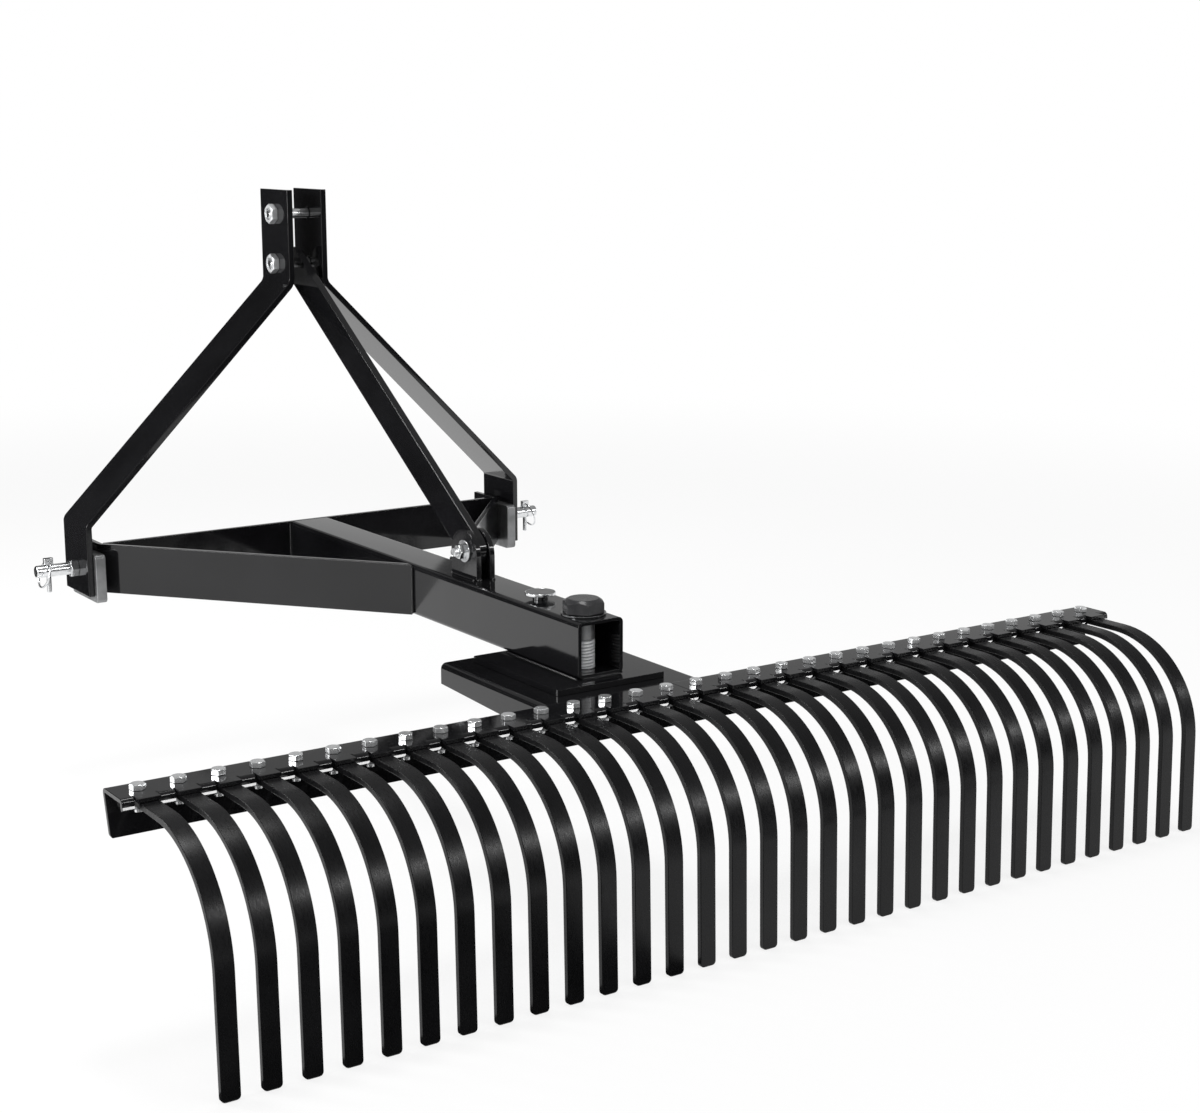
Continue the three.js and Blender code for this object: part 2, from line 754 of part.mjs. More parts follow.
// Tine with its bolt and nut: flat under the beam, one long bend, then a straight point
function makeTine() {
  const bendRadius = tineBend - tineThickness / 2;
  const tangent = bendRadius * Math.tan(tineBendAngle / 2);
  const heelY = -boltLineSetback - tineFlatRun - tangent;
  const tip = headTop - tineDrop;
  const tipY = heelY - (tineMiddle - tip) / Math.tan(tineBendAngle);
  const nose = beamFront - beamWall - tineNoseGap;
  const line = [
    [nose, tineMiddle],
    [heelY, tineMiddle],
    [tipY, tip],
  ];
  const half = tineThickness / 2;
  const bar = foldedBar(line, bendRadius, half, -half, tineBendSteps);
  const side = tineWidth / 2;
  const cornerX = side - tineTipCorner;
  const cornerZ = tip + tineTipCorner;
  const face = [
    [-side, headTop],
    ...arc(-cornerX, cornerZ, tineTipCorner, -2 * quarterTurn, -quarterTurn, cornerSteps),
    ...arc(cornerX, cornerZ, tineTipCorner, -quarterTurn, 0, cornerSteps),
    [side, headTop],
  ];
  const leaf = extruded("x", bar, -tineWidth, tineWidth).intersect(
    extruded("y", face, tipY - tineThickness, nose + overrun),
  );
  const place = [0, -boltLineSetback];
  const headBottom = headTop + seatGap;
  const headHigh = headBottom + tineBoltHeadHeight;
  const tineBottom = tineTop - tineThickness;
  const nutBottom = tineBottom - tineNutHeight;
  return joined(
    leaf,
    hexagon("z", tineBoltAcrossFlats, place, headBottom, headHigh),
    rod("z", tineBoltDiameter, place, nutBottom - tineThreadEnd, headHigh, smallSides),
    hexagon("z", tineBoltAcrossFlats, place, nutBottom, tineMiddle),
  );
}

const tine = makeTine();
for (let index = 0; index < tineCount; index += 1) {
  const mesh = piece("tine_" + String(index + 1).padStart(2, "0"), tine, satin);
  mesh.position.set(tineX(index), 0, 0);
  rakeHead.add(mesh);
}

export default rake;
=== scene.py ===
import math

import bmesh
import bpy
from mathutils import Matrix, Vector


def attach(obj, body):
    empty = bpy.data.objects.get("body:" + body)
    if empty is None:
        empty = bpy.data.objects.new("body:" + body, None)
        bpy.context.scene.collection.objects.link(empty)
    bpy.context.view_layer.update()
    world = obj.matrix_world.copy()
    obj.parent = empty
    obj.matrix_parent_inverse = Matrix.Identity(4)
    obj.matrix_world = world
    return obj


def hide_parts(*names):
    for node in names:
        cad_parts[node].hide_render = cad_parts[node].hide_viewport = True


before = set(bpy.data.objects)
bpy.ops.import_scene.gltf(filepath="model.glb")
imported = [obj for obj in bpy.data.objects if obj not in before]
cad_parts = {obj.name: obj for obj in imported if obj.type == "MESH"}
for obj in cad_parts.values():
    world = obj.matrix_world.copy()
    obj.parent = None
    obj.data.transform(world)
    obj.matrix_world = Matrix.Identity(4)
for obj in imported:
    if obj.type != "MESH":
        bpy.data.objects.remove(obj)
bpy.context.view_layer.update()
scene = bpy.context.scene
mm = 0.001


# ---- camera, light and floor
photoCamera = {"place": (-1464.39, -2998.16, 669.33), "turn": (78.06, 0, -34.36), "lens": 62.06, "sensor": 36,
               "nearest": 50, "farthest": 200000}


def makeCamera(v):
    data = bpy.data.cameras.new("photoCamera")
    data.sensor_fit = "HORIZONTAL"
    data.sensor_width = v["sensor"]
    data.lens = v["lens"]
    data.clip_start, data.clip_end = v["nearest"] * mm, v["farthest"] * mm
    camera = bpy.data.objects.new("photoCamera", data)
    camera.location = Vector(v["place"]) * mm
    camera.rotation_euler = [math.radians(a) for a in v["turn"]]
    scene.collection.objects.link(camera)
    scene.camera = camera


makeCamera(photoCamera)

studio = {
    "floorHeight": -324.9, "floorHalf": 30000, "floorTint": (0.94, 0.94, 0.94), "floorLift": 0.8,
    "nearRadius": 2000, "farRadius": 4500,
    "worldLight": 0.52, "white": 1.0, "ceiling": 0.29, "ceilingStart": 0.06, "ceilingEnd": 0.3,
    # black flags: the standing ones by y, west, east and top, the lying ones by west, east, back and front
    "flagShade": (0.004, 0.004, 0.004), "flagHeight": -323, "flagFade": 110,
    "standingFlags": [(1000, -4600, -60, 1000), (-4100, 200, 4800, 900)],
    "lyingFlags": [(400, 980, -2350, -1540), (-1900, -60, -2300, -1130)],
    # lamps by name, place, aim, size and watts
    "lamps": [
        ("leftSoftbox", (-3300, -1000, 900), (0, -600, 0), (900, 800), 44),
        ("frontSoftbox", (-1900, 880, 760), (0, 0, 350), (900, 700), 30),
        ("rightStripbox", (2550, -3900, 1800), (2550, -900, 0), (4100, 220), 60),
        ("topSoftbox", (200, -200, 3700), (0, -500, 0), (900, 900), 44),
    ],
}


def rectangle(left, low, right, high):
    return [(left, low), (right, low), (right, high), (left, high)]


def asObject(name, bm):
    mesh = bpy.data.meshes.new(name)
    bm.to_mesh(mesh)
    bm.free()
    obj = bpy.data.objects.new(name, mesh)
    scene.collection.objects.link(obj)
    return obj


def newMaterial(name):
    material = bpy.data.materials.new(name)
    material.use_nodes = True
    return material, material.node_tree


def addNode(tree, kind, values=None, **settings):
    # a shader node with its settings and the values of its sockets
    node = tree.nodes.new("ShaderNode" + kind)
    for key, value in settings.items():
        setattr(node, key, value)
    for socket, value in (values or {}).items():
        node.inputs[socket].default_value = value
    return node


def wire(tree, *pairs):
    for source, socket in pairs:
        tree.links.new(source, socket)


def seenRays(tree):
    # 1 for the rays of the camera, of the gloss and of glass
    path = addNode(tree, "LightPath")
    first = addNode(tree, "Math", operation="MAXIMUM")
    second = addNode(tree, "Math", operation="MAXIMUM")
    wire(tree, (path.outputs["Is Camera Ray"], first.inputs[0]),
         (path.outputs["Is Glossy Ray"], first.inputs[1]),
         (first.outputs[0], second.inputs[0]),
         (path.outputs["Is Transmission Ray"], second.inputs[1]))
    return second.outputs[0]


def makeWorld(v):
    # the camera sees white all round; the gloss sees it go over into a grey ceiling above the horizon
    world = bpy.data.worlds.new("studioWorld")
    scene.world = world
    world.use_nodes = True
    tree = world.node_tree
    tree.nodes.clear()
    out = addNode(tree, "OutputWorld")
    plain = addNode(tree, "Background", {"Color": (1, 1, 1, 1), "Strength": v["worldLight"]})
    seen = addNode(tree, "Background", {"Color": (1, 1, 1, 1)})
    coords = addNode(tree, "TexCoord")
    split = addNode(tree, "SeparateXYZ")
    fade = addNode(tree, "MapRange", {"From Min": v["ceilingStart"], "From Max": v["ceilingEnd"],
                                      "To Min": v["white"], "To Max": v["ceiling"]},
                   interpolation_type="SMOOTHSTEP")
    path = addNode(tree, "LightPath")
    backdrop = addNode(tree, "Math", operation="MAXIMUM")
    mix = addNode(tree, "MixShader")
    wire(tree, (coords.outputs["Generated"], split.inputs[0]),
         (split.outputs["Z"], fade.inputs["Value"]),
         (fade.outputs[0], backdrop.inputs[0]),
         (path.outputs["Is Camera Ray"], backdrop.inputs[1]),
         (backdrop.outputs[0], seen.inputs["Strength"]),
         (seenRays(tree), mix.inputs[0]),
         (plain.outputs[0], mix.inputs[1]),
         (seen.outputs[0], mix.inputs[2]),
         (mix.outputs[0], out.inputs[0]))


def makeLamps(v):
    for name, place, aim, size, watts in v["lamps"]:
        data = bpy.data.lights.new(name, "AREA")
        data.shape = "RECTANGLE"
        data.size, data.size_y = [edge * mm for edge in size]
        data.energy = watts
        lamp = bpy.data.objects.new(name, data)
        lamp.location = Vector(place) * mm
        lamp.rotation_euler = (Vector(aim) - Vector(place)).to_track_quat("-Z", "Y").to_euler()
        lamp.visible_camera = False
        scene.collection.objects.link(lamp)


def makeFlags(v):
    # seen only in the gloss: one stands ahead and left of the hitch and darkens the mast's sides, one
    # stands behind for the folds under the tines, two lie on the floor and darken what faces backwards
    low, lying = v["floorHeight"], v["flagHeight"]
    cards = [[(x, y, z) for x, z in rectangle(west, low, east, top)]
             for y, west, east, top in v["standingFlags"]]
    cards += [[(x, y, lying) for x, y in rectangle(west, back, east, front)]
              for west, east, back, front in v["lyingFlags"]]
    bm = bmesh.new()
    cover = bm.verts.layers.float.new("cover")
    for corners in cards:
        face = bm.faces.new([bm.verts.new(Vector(corner) * mm) for corner in corners])
        bmesh.ops.inset_individual(bm, faces=[face], thickness=v["flagFade"] * mm, use_even_offset=True)
        for vert in face.verts:
            vert[cover] = 1
    card = asObject("blackFlags", bm)
    card.visible_camera = card.visible_diffuse = card.visible_transmission = card.visible_shadow = False
    material, tree = newMaterial("flagCloth")
    cloth = tree.nodes["Principled BSDF"]
    cloth.inputs["Base Color"].default_value = (*v["flagShade"], 1)
    cloth.inputs["Roughness"].default_value = 1
    # the cloth thins out towards its edges
    edge = addNode(tree, "Attribute", attribute_name="cover")
    wire(tree, (edge.outputs["Fac"], cloth.inputs["Alpha"]))
    card.data.materials.append(material)


def makeFloor(v):
    bm = bmesh.new()
    bmesh.ops.create_grid(bm, x_segments=1, y_segments=1, size=v["floorHalf"] * mm)
    bmesh.ops.translate(bm, verts=bm.verts[:], vec=(0, 0, v["floorHeight"] * mm))
    floor = asObject("floor", bm)
    material, tree = newMaterial("paleFloor")
    tree.nodes.clear()
    out = addNode(tree, "OutputMaterial")
    lit = addNode(tree, "BsdfDiffuse", {"Color": (*v["floorTint"], 1)})
    far = addNode(tree, "Emission", {"Strength": v["white"]})
    # near the object the floor is lit, and lifted towards white where the camera or the gloss sees it
    lift = addNode(tree, "Math", {1: v["floorLift"]}, operation="MULTIPLY")
    near = addNode(tree, "MixShader")
    coords = addNode(tree, "TexCoord")
    length = addNode(tree, "VectorMath", operation="LENGTH")
    fade = addNode(tree, "MapRange", {"From Min": v["nearRadius"] * mm, "From Max": v["farRadius"] * mm},
                   interpolation_type="SMOOTHSTEP")
    mix = addNode(tree, "MixShader")
    wire(tree, (seenRays(tree), lift.inputs[0]),
         (lift.outputs[0], near.inputs[0]),
         (lit.outputs[0], near.inputs[1]),
         (far.outputs[0], near.inputs[2]),
         (coords.outputs["Object"], length.inputs[0]),
         (length.outputs["Value"], fade.inputs["Value"]),
         (fade.outputs[0], mix.inputs[0]),
         (near.outputs[0], mix.inputs[1]),
         (far.outputs[0], mix.inputs[2]),
         (mix.outputs[0], out.inputs[0]))
    floor.data.materials.append(material)


makeWorld(studio)
makeLamps(studio)
makeFlags(studio)
makeFloor(studio)
scene.view_settings.view_transform = "Standard"
print("camera and studio ready")


# ---- finishes, all on Object coordinates
anyFinish = {"ior": 1.5, "specular": 0.5, "stretch": (1, 1, 1), "patchDetail": 3, "patchRange": (0.35, 0.65),
             "grainDetail": 2, "grainRange": (0.3, 0.7)}


def makeFinish(name, own):
    v = {**anyFinish, **own}
    material, tree = newMaterial(name)
    shader = tree.nodes["Principled BSDF"]
    shader.inputs["Metallic"].default_value = v["metallic"]
    shader.inputs["IOR"].default_value = v["ior"]
    shader.inputs["Specular IOR Level"].default_value = v["specular"]
    coords = addNode(tree, "TexCoord")
    mapping = addNode(tree, "Mapping", {"Scale": v["stretch"]})
    # patches are a broad, faint change of colour, grain is the fine skin of the paint or plating
    patches = addNode(tree, "TexNoise", {"Scale": v["patchScale"], "Detail": v["patchDetail"]})
    grain = addNode(tree, "TexNoise", {"Scale": v["grainScale"], "Detail": v["grainDetail"]})
    colours = addNode(tree, "Mix", {"A": (*v["dark"], 1), "B": (*v["light"], 1)}, data_type="RGBA")
    contrast = addNode(tree, "MapRange", {"From Min": v["patchRange"][0], "From Max": v["patchRange"][1]})
    rough = addNode(tree, "MapRange", {"From Min": v["grainRange"][0], "From Max": v["grainRange"][1],
                                       "To Min": v["roughness"][0], "To Max": v["roughness"][1]})
    bump = addNode(tree, "Bump", {"Strength": v["bump"], "Distance": v["bumpDepth"] * mm})
    wire(tree, (coords.outputs["Object"], mapping.inputs["Vector"]),
         (coords.outputs["Object"], patches.inputs["Vector"]),
         (mapping.outputs[0], grain.inputs["Vector"]),
         (patches.outputs["Fac"], contrast.inputs["Value"]),
         (contrast.outputs[0], colours.inputs["Factor"]),
         (colours.outputs["Result"], shader.inputs["Base Color"]),
         (grain.outputs["Fac"], rough.inputs["Value"]),
         (rough.outputs[0], shader.inputs["Roughness"]),
         (grain.outputs["Fac"], bump.inputs["Height"]),
         (bump.outputs[0], shader.inputs["Normal"]))
    return material


glossPaint = makeFinish("glossBlackPowderCoat", {
    "dark": (0.0035, 0.0035, 0.004), "light": (0.007, 0.007, 0.0078), "metallic": 0,
    "patchScale": 7, "grainScale": 420, "roughness": (0.06, 0.11), "bump": 0.03, "bumpDepth": 0.04})
tinePaint = makeFinish("satinBlackTinePaint", {
    "dark": (0.0028, 0.0028, 0.0032), "light": (0.006, 0.006, 0.0066), "metallic": 0,
    "specular": 0.22, "stretch": (1, 0.25, 0.25),
    "patchScale": 11, "grainScale": 520, "roughness": (0.24, 0.34), "bump": 0.1, "bumpDepth": 0.08})
zincPlate = makeFinish("brightZincPlate", {
    "dark": (0.66, 0.67, 0.68), "light": (0.86, 0.87, 0.88), "metallic": 1,
    "patchScale": 90, "grainScale": 900, "roughness": (0.14, 0.26), "bump": 0.1, "bumpDepth": 0.05})
tineZinc = makeFinish("brightZincTineBolt", {
    "dark": (0.8, 0.81, 0.82), "light": (0.92, 0.93, 0.94), "metallic": 0.78,
    "patchScale": 120, "grainScale": 900, "roughness": (0.13, 0.22), "bump": 0.08, "bumpDepth": 0.04})
boltZinc = makeFinish("satinZincBolt", {
    "dark": (0.7, 0.71, 0.72), "light": (0.88, 0.89, 0.9), "metallic": 0.85,
    "patchScale": 120, "grainScale": 900, "roughness": (0.36, 0.48), "bump": 0.1, "bumpDepth": 0.04})
threadZinc = makeFinish("brightZincThread", {
    "dark": (0.82, 0.83, 0.84), "light": (0.93, 0.94, 0.95), "metallic": 0.35,
    "patchScale": 60, "grainScale": 700, "roughness": (0.24, 0.38), "bump": 0.1, "bumpDepth": 0.05})
# a darker zinc: painted shade on the index pin's head top and shank, against the bright zinc of its rim; the
# pivot washer wears it too
darkZincPaintedShade = makeFinish("darkZincPinPaintedShade", {
    "dark": (0.09, 0.092, 0.094), "light": (0.14, 0.142, 0.145), "metallic": 1,
    "patchScale": 60, "grainScale": 800, "roughness": (0.1, 0.18), "bump": 0.1, "bumpDepth": 0.04})
darkBolt = makeFinish("blackOxideSteel", {
    "dark": (0.024, 0.024, 0.026), "light": (0.042, 0.042, 0.044), "metallic": 0, "specular": 0.2,
    "patchScale": 40, "grainScale": 800, "roughness": (0.2, 0.3), "bump": 0.12, "bumpDepth": 0.05})
# grey steel: the lugs' own colour and the tine nuts', and painted shade on the pivot bolt's smooth shank and in
# its thread's grooves
greySteelAndPaintedShade = makeFinish("greySteelAndPaintedShadeFinish", {
    "dark": (0.2, 0.203, 0.206), "light": (0.34, 0.344, 0.348), "metallic": 0.8, "stretch": (1, 0.2, 1),
    "patchScale": 30, "grainScale": 600, "roughness": (0.34, 0.5), "bump": 0.2, "bumpDepth": 0.06})
print("finishes ready")


# ---- tools for plates, bars and bolts
def spot(axis, a, b, c):
    # (a, b) lie across the axis and c along it, in millimetres
    return Vector({"x": (c, a, b), "y": (a, c, b), "z": (a, b, c)}[axis]) * mm


def slab(axis, corners, low, high, rounds=None, steps=5):
    # a flat outline, its corners rounded to the given radii, pushed along an axis
    bm = bmesh.new()
    verts = [bm.verts.new(spot(axis, a, b, low)) for a, b in corners]
    bm.faces.new(verts)
    count = len(corners)
    for index, radius in (rounds or {}).items():
        here = Vector(corners[index])
        before = (Vector(corners[index - 1]) - here).normalized()
        after = (Vector(corners[(index + 1) % count]) - here).normalized()
        reach = radius / math.tan(before.angle(after) / 2)
        bmesh.ops.bevel(bm, geom=[verts[index]], offset=reach * mm, offset_type="OFFSET", segments=steps,
                        profile=0.5, affect="VERTICES", material=-1)
    grown = bmesh.ops.extrude_face_region(bm, geom=bm.faces[:])
    moved = [v for v in grown["geom"] if isinstance(v, bmesh.types.BMVert)]
    bmesh.ops.translate(bm, verts=moved, vec=spot(axis, 0, 0, high - low))
    bmesh.ops.recalc_face_normals(bm, faces=bm.faces[:])
    return bm


def fourRounds(radius):
    return dict.fromkeys(range(4), radius)


def roundEnded(axis, corners, low, high, rounds, steps=10, nearlyFull=0.999):
    # a slab with half-round ends: two corner rounds meet there, and the hair left between them is closed
    bm = slab(axis, corners, low, high, {index: r * nearlyFull for index, r in rounds.items()}, steps)
    bmesh.ops.remove_doubles(bm, verts=bm.verts[:], dist=1e-4)
    return bm


def barOutline(line, left, right):
    # the corners of a folded bar: its line moved sideways by two offsets, with mitred corners
    def moved(offset):
        points = []
        for index, point in enumerate(line):
            here = Vector(point)
            into = (here - Vector(line[index - 1])).normalized() if index else None
            outOf = (Vector(line[index + 1]) - here).normalized() if index < len(line) - 1 else None
            into, outOf = into or outOf, outOf or into
            middle = (into + outOf).normalized()
            normal = Vector((-middle.y, middle.x))
            points.append(tuple(here + normal * (offset / middle.dot(into))))
        return points
    return moved(left) + moved(right)[::-1]


def soften(bm, width, segments=2, angle=32, clamp=True):
    # rounds every sharp edge a little, so that it catches the light
    sharp = [e for e in bm.edges if len(e.link_faces) == 2 and e.calc_face_angle(0) > math.radians(angle)]
    bmesh.ops.bevel(bm, geom=sharp, offset=width * mm, offset_type="OFFSET", segments=segments, profile=0.5,
                    affect="EDGES", material=-1, clamp_overlap=clamp)
    return bm


boltAngle = 40   # softens a hexagon's own edges and leaves the facets of its cone


def joinedShapes(*shapes):
    whole = bmesh.new()
    for shape in shapes:
        part = bpy.data.meshes.new("part")
        shape.to_mesh(part)
        shape.free()
        whole.from_mesh(part)
        bpy.data.meshes.remove(part)
    return whole


def cut(bm, *cutters, operation="DIFFERENCE"):
    # takes other shapes out of a shape, or with UNION adds them to it
    body = asObject("body", bm)
    knife = asObject("knife", joinedShapes(*cutters))
    carve = body.modifiers.new("carve", "BOOLEAN")
    carve.operation = operation
    carve.solver = "EXACT"
    carve.object = knife
    shaped = bpy.data.meshes.new_from_object(body.evaluated_get(bpy.context.evaluated_depsgraph_get()))
    result = bmesh.new()
    result.from_mesh(shaped)
    for obj in (body, knife):
        mesh = obj.data
        bpy.data.objects.remove(obj)
        bpy.data.meshes.remove(mesh)
    bpy.data.meshes.remove(shaped)
    bmesh.ops.remove_doubles(result, verts=result.verts[:], dist=1e-6)
    bmesh.ops.dissolve_limit(result, angle_limit=math.radians(0.5), verts=result.verts[:],
                             edges=result.edges[:])
    return result


axisTurn = {
    "x": Matrix.Rotation(math.radians(90), 4, "Y"),
    "y": Matrix.Rotation(math.radians(-90), 4, "X"),
    "z": Matrix.Identity(4),
}


def barrel(axis, diameter, place, low, high, sides=32, turn=0):
    # a round or many-sided bar along an axis; unturned, its first corner is on X for an upright bar
    bm = bmesh.new()
    bmesh.ops.create_cone(bm, cap_ends=True, segments=sides, radius1=diameter / 2 * mm,
                          radius2=diameter / 2 * mm, depth=(high - low) * mm)
    bmesh.ops.rotate(bm, verts=bm.verts[:], cent=(0, 0, 0), matrix=Matrix.Rotation(turn - math.pi / 2, 3, "Z"))
    bmesh.ops.transform(bm, matrix=axisTurn[axis], verts=bm.verts[:])
    bmesh.ops.translate(bm, verts=bm.verts[:], vec=spot(axis, *place, (low + high) / 2))
    return bm


def block(size, middle):
    bm = bmesh.new()
    bmesh.ops.create_cube(bm, size=1)
    bmesh.ops.scale(bm, verts=bm.verts[:], vec=[edge * mm for edge in size])
    bmesh.ops.translate(bm, verts=bm.verts[:], vec=[c * mm for c in middle])
    return bm


def hexagonHead(axis, flats, place, low, high, chamferTop=True, chamferBottom=False, turn=0, bore=0,
                cone=0.475, slope=30, cuts=36, overrun=2):
    # a hexagon whose corners are turned off by a cone, as on a bolt head or a nut
    bm = barrel(axis, flats / math.cos(math.pi / 6), (0, 0), low, high, sides=6, turn=turn)
    slope = math.radians(slope)
    for wanted, level, sign in ((chamferTop, high, 1), (chamferBottom, low, -1)):
        if not wanted:
            continue
        for step in range(cuts):
            angle = 2 * math.pi * step / cuts
            flat = spot(axis, math.cos(angle), math.sin(angle), 0) / mm
            edge = spot(axis, 0, 0, level) + flat * flats * cone * mm
            normal = flat * math.sin(slope) + spot(axis, 0, 0, sign) / mm * math.cos(slope)
            faces = bm.faces[:] + bm.edges[:] + bm.verts[:]
            bmesh.ops.bisect_plane(bm, geom=faces, plane_co=edge, plane_no=normal, clear_outer=True, dist=1e-7)
            rim = [e for e in bm.edges if len(e.link_faces) == 1]
            if rim:
                bmesh.ops.holes_fill(bm, edges=rim, sides=0)
    bmesh.ops.translate(bm, verts=bm.verts[:], vec=spot(axis, *place, 0))
    bmesh.ops.recalc_face_normals(bm, faces=bm.faces[:])
    if bore:
        bm = cut(bm, barrel(axis, bore, place, low - overrun, high + overrun))
    return bm


def threadedRod(axis, diameter, place, low, high, pitch, depth, crest=0.12, root=0.38, steps=32):
    # one turn of a toothed line, spun with a rise of one pitch, closes into a screw thread
    bm = bmesh.new()
    outer, inner = diameter / 2, diameter / 2 - depth
    turns = max(1, int((high - low) / pitch) - 1)
    points = []
    for turn in range(turns):
        base = low + turn * pitch
        points += [(outer, base), (outer, base + pitch * crest),
                   (inner, base + pitch * (crest + root)), (inner, base + pitch * (1 - root))]
    points.append((outer, low + turns * pitch))
    verts = [bm.verts.new(Vector((r, 0, z)) * mm) for r, z in points]
    edges = [bm.edges.new((a, b)) for a, b in zip(verts, verts[1:])]
    bmesh.ops.spin(bm, geom=verts + edges, cent=(0, 0, 0), axis=(0, 0, 1), dvec=(0, 0, pitch * mm / steps),
                   angle=2 * math.pi, steps=steps, use_merge=False)
    bmesh.ops.remove_doubles(bm, verts=bm.verts[:], dist=2e-6)
    rims = [e for e in bm.edges if len(e.link_faces) == 1]
    bmesh.ops.holes_fill(bm, edges=rims, sides=0)
    bmesh.ops.triangulate(bm, faces=[f for f in bm.faces if len(f.verts) > 4])
    bmesh.ops.recalc_face_normals(bm, faces=bm.faces[:])
    if bm.calc_volume(signed=True) < 0:   # the recalculation can turn a thread inside out
        bmesh.ops.reverse_faces(bm, faces=bm.faces[:])
    bmesh.ops.transform(bm, matrix=axisTurn[axis], verts=bm.verts[:])
    bmesh.ops.translate(bm, verts=bm.verts[:], vec=spot(axis, *place, 0))
    return bm


def weldBead(start, end, width, swell=0.22, dip=0.4, tail=0.35, pitch=3.2, sides=8):
    # a rounded seam between two points, with the ripples of the welder's steps
    start, end = Vector(start) * mm, Vector(end) * mm
    run = end - start
    # each ring's size: small at both ends, and swelling and shrinking between them
    ripple = (1 - swell, 1.0, 1 - swell * dip)
    steps = max(4, int(run.length / (pitch * mm)) * len(ripple))
    sizes = [tail] + [ripple[step % len(ripple)] for step in range(steps - 1)] + [tail]
    bm = bmesh.new()
    ring = bmesh.ops.create_circle(bm, cap_ends=True, segments=sides, radius=width / 2 * tail * mm)["verts"]
    turn = run.to_track_quat("Z", "Y").to_matrix()
    bmesh.ops.rotate(bm, verts=ring, cent=(0, 0, 0), matrix=turn)
    bmesh.ops.translate(bm, verts=ring, vec=start)
    face = bm.faces[:][0]
    for before, size in zip(sizes, sizes[1:]):
        grown = bmesh.ops.extrude_discrete_faces(bm, faces=[face])["faces"]
        face = grown[0]
        bmesh.ops.translate(bm, verts=face.verts[:], vec=run / steps)
        centre = face.calc_center_median()
        bmesh.ops.scale(bm, verts=face.verts[:], vec=[size / before] * 3, space=Matrix.Translation(-centre))
    bmesh.ops.holes_fill(bm, edges=[e for e in bm.edges if len(e.link_faces) == 1], sides=0)
    bmesh.ops.recalc_face_normals(bm, faces=bm.faces[:])
    return bm


def finishPiece(name, bm, body, material, nodes=(), crease=50):
    obj = asObject(name, bm)
    mesh = obj.data
    mesh.materials.append(material)
    mesh.polygons.foreach_set("use_smooth", [True] * len(mesh.polygons))
    mesh.set_sharp_from_angle(angle=math.radians(crease))
    even = obj.modifiers.new("evenShade", "WEIGHTED_NORMAL")
    even.mode = "FACE_AREA"
    even.keep_sharp = True
    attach(obj, body)
    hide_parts(*nodes)


def painted(name, bm, *nodes, body="hitch_frame", crease=50):
    finishPiece(name, bm, body, glossPaint, nodes, crease)


def plated(name, bm, *nodes, body="hitch_frame", material=zincPlate, crease=50):
    finishPiece(name, bm, body, material, nodes, crease)


sides = ((-1, "Left"), (1, "Right"))


def both(low, high, side):
    # a stretch given outwards from the middle, on one side
    return sorted((side * low, side * high))


# ---- boom: a square tube, open at the rear, with the holes for the pivot bolt and the index pin
boom = {"width": 70, "height": 75, "wall": 5, "corner": 7, "rear": -858.4, "front": -27.3, "edge": 0.6,
        "pivotY": -818, "pivotHole": 30.8, "indexY": -714, "indexHole": 21.2, "overrun": 5}


def boomHoles(low, high):
    # cutters for the two holes that go through the boom and through the plate under it
    low, high = low - boom["overrun"], high + boom["overrun"]
    return [barrel("z", boom["pivotHole"], (0, boom["pivotY"]), low, high),
            barrel("z", boom["indexHole"], (0, boom["indexY"]), low, high)]


def makeBoom(v):
    w, h, wall = v["width"] / 2, v["height"] / 2, v["wall"]
    tube = slab("y", rectangle(-w, -h, w, h), v["rear"], v["front"], fourRounds(v["corner"]), 6)
    bore = slab("y", rectangle(wall - w, wall - h, w - wall, h - wall), v["rear"] - v["overrun"],
                v["front"] + v["overrun"], fourRounds(v["corner"] - wall), 3)
    tube = cut(tube, bore)
    return soften(cut(tube, *boomHoles(-h, h)), v["edge"])


painted("boomTube", makeBoom(boom), "boom")

indexPlate = {"halfWidth": 84, "rear": -884.5, "front": -675.5, "low": -45.8, "high": -37.8, "corner": 4,
              "edge": 0.2}


def makeIndexPlate(v):
    plate = slab("z", rectangle(-v["halfWidth"], v["rear"], v["halfWidth"], v["front"]), v["low"], v["high"],
                 fourRounds(v["corner"]))
    return soften(cut(plate, *boomHoles(v["low"], v["high"])), v["edge"])


painted("indexPlate", makeIndexPlate(indexPlate), "index_plate")
print("boom and index plate done")

# ---- pivot bolt with washer and nut, index pin
pivot = {"y": -818, "flats": 50, "turn": 8, "headLow": 40.6, "headHigh": 59.3, "dome": 0.41, "domeSlope": 33,
         "domeAngle": 24, "edge": 0.8, "nutLow": -75.4, "nutHigh": -51.4, "nutPlay": 0.4,
         "shank": 30, "end": -81.4, "sides": 48, "overlap": 1,
         "washer": 60, "washerSides": 64, "washerLow": 37.8, "washerHigh": 40.3, "washerPlay": 0.8,
         "washerEdge": 0.4,
         "threadTop": 5.5, "threadLow": -37, "threadPitch": 4.3, "threadDepth": 2.6, "threadCrest": 0.58,
         "threadFlank": 0.08, "rootPlay": 0.8, "endThread": 8, "endPitch": 3.5, "endDepth": 1.6}


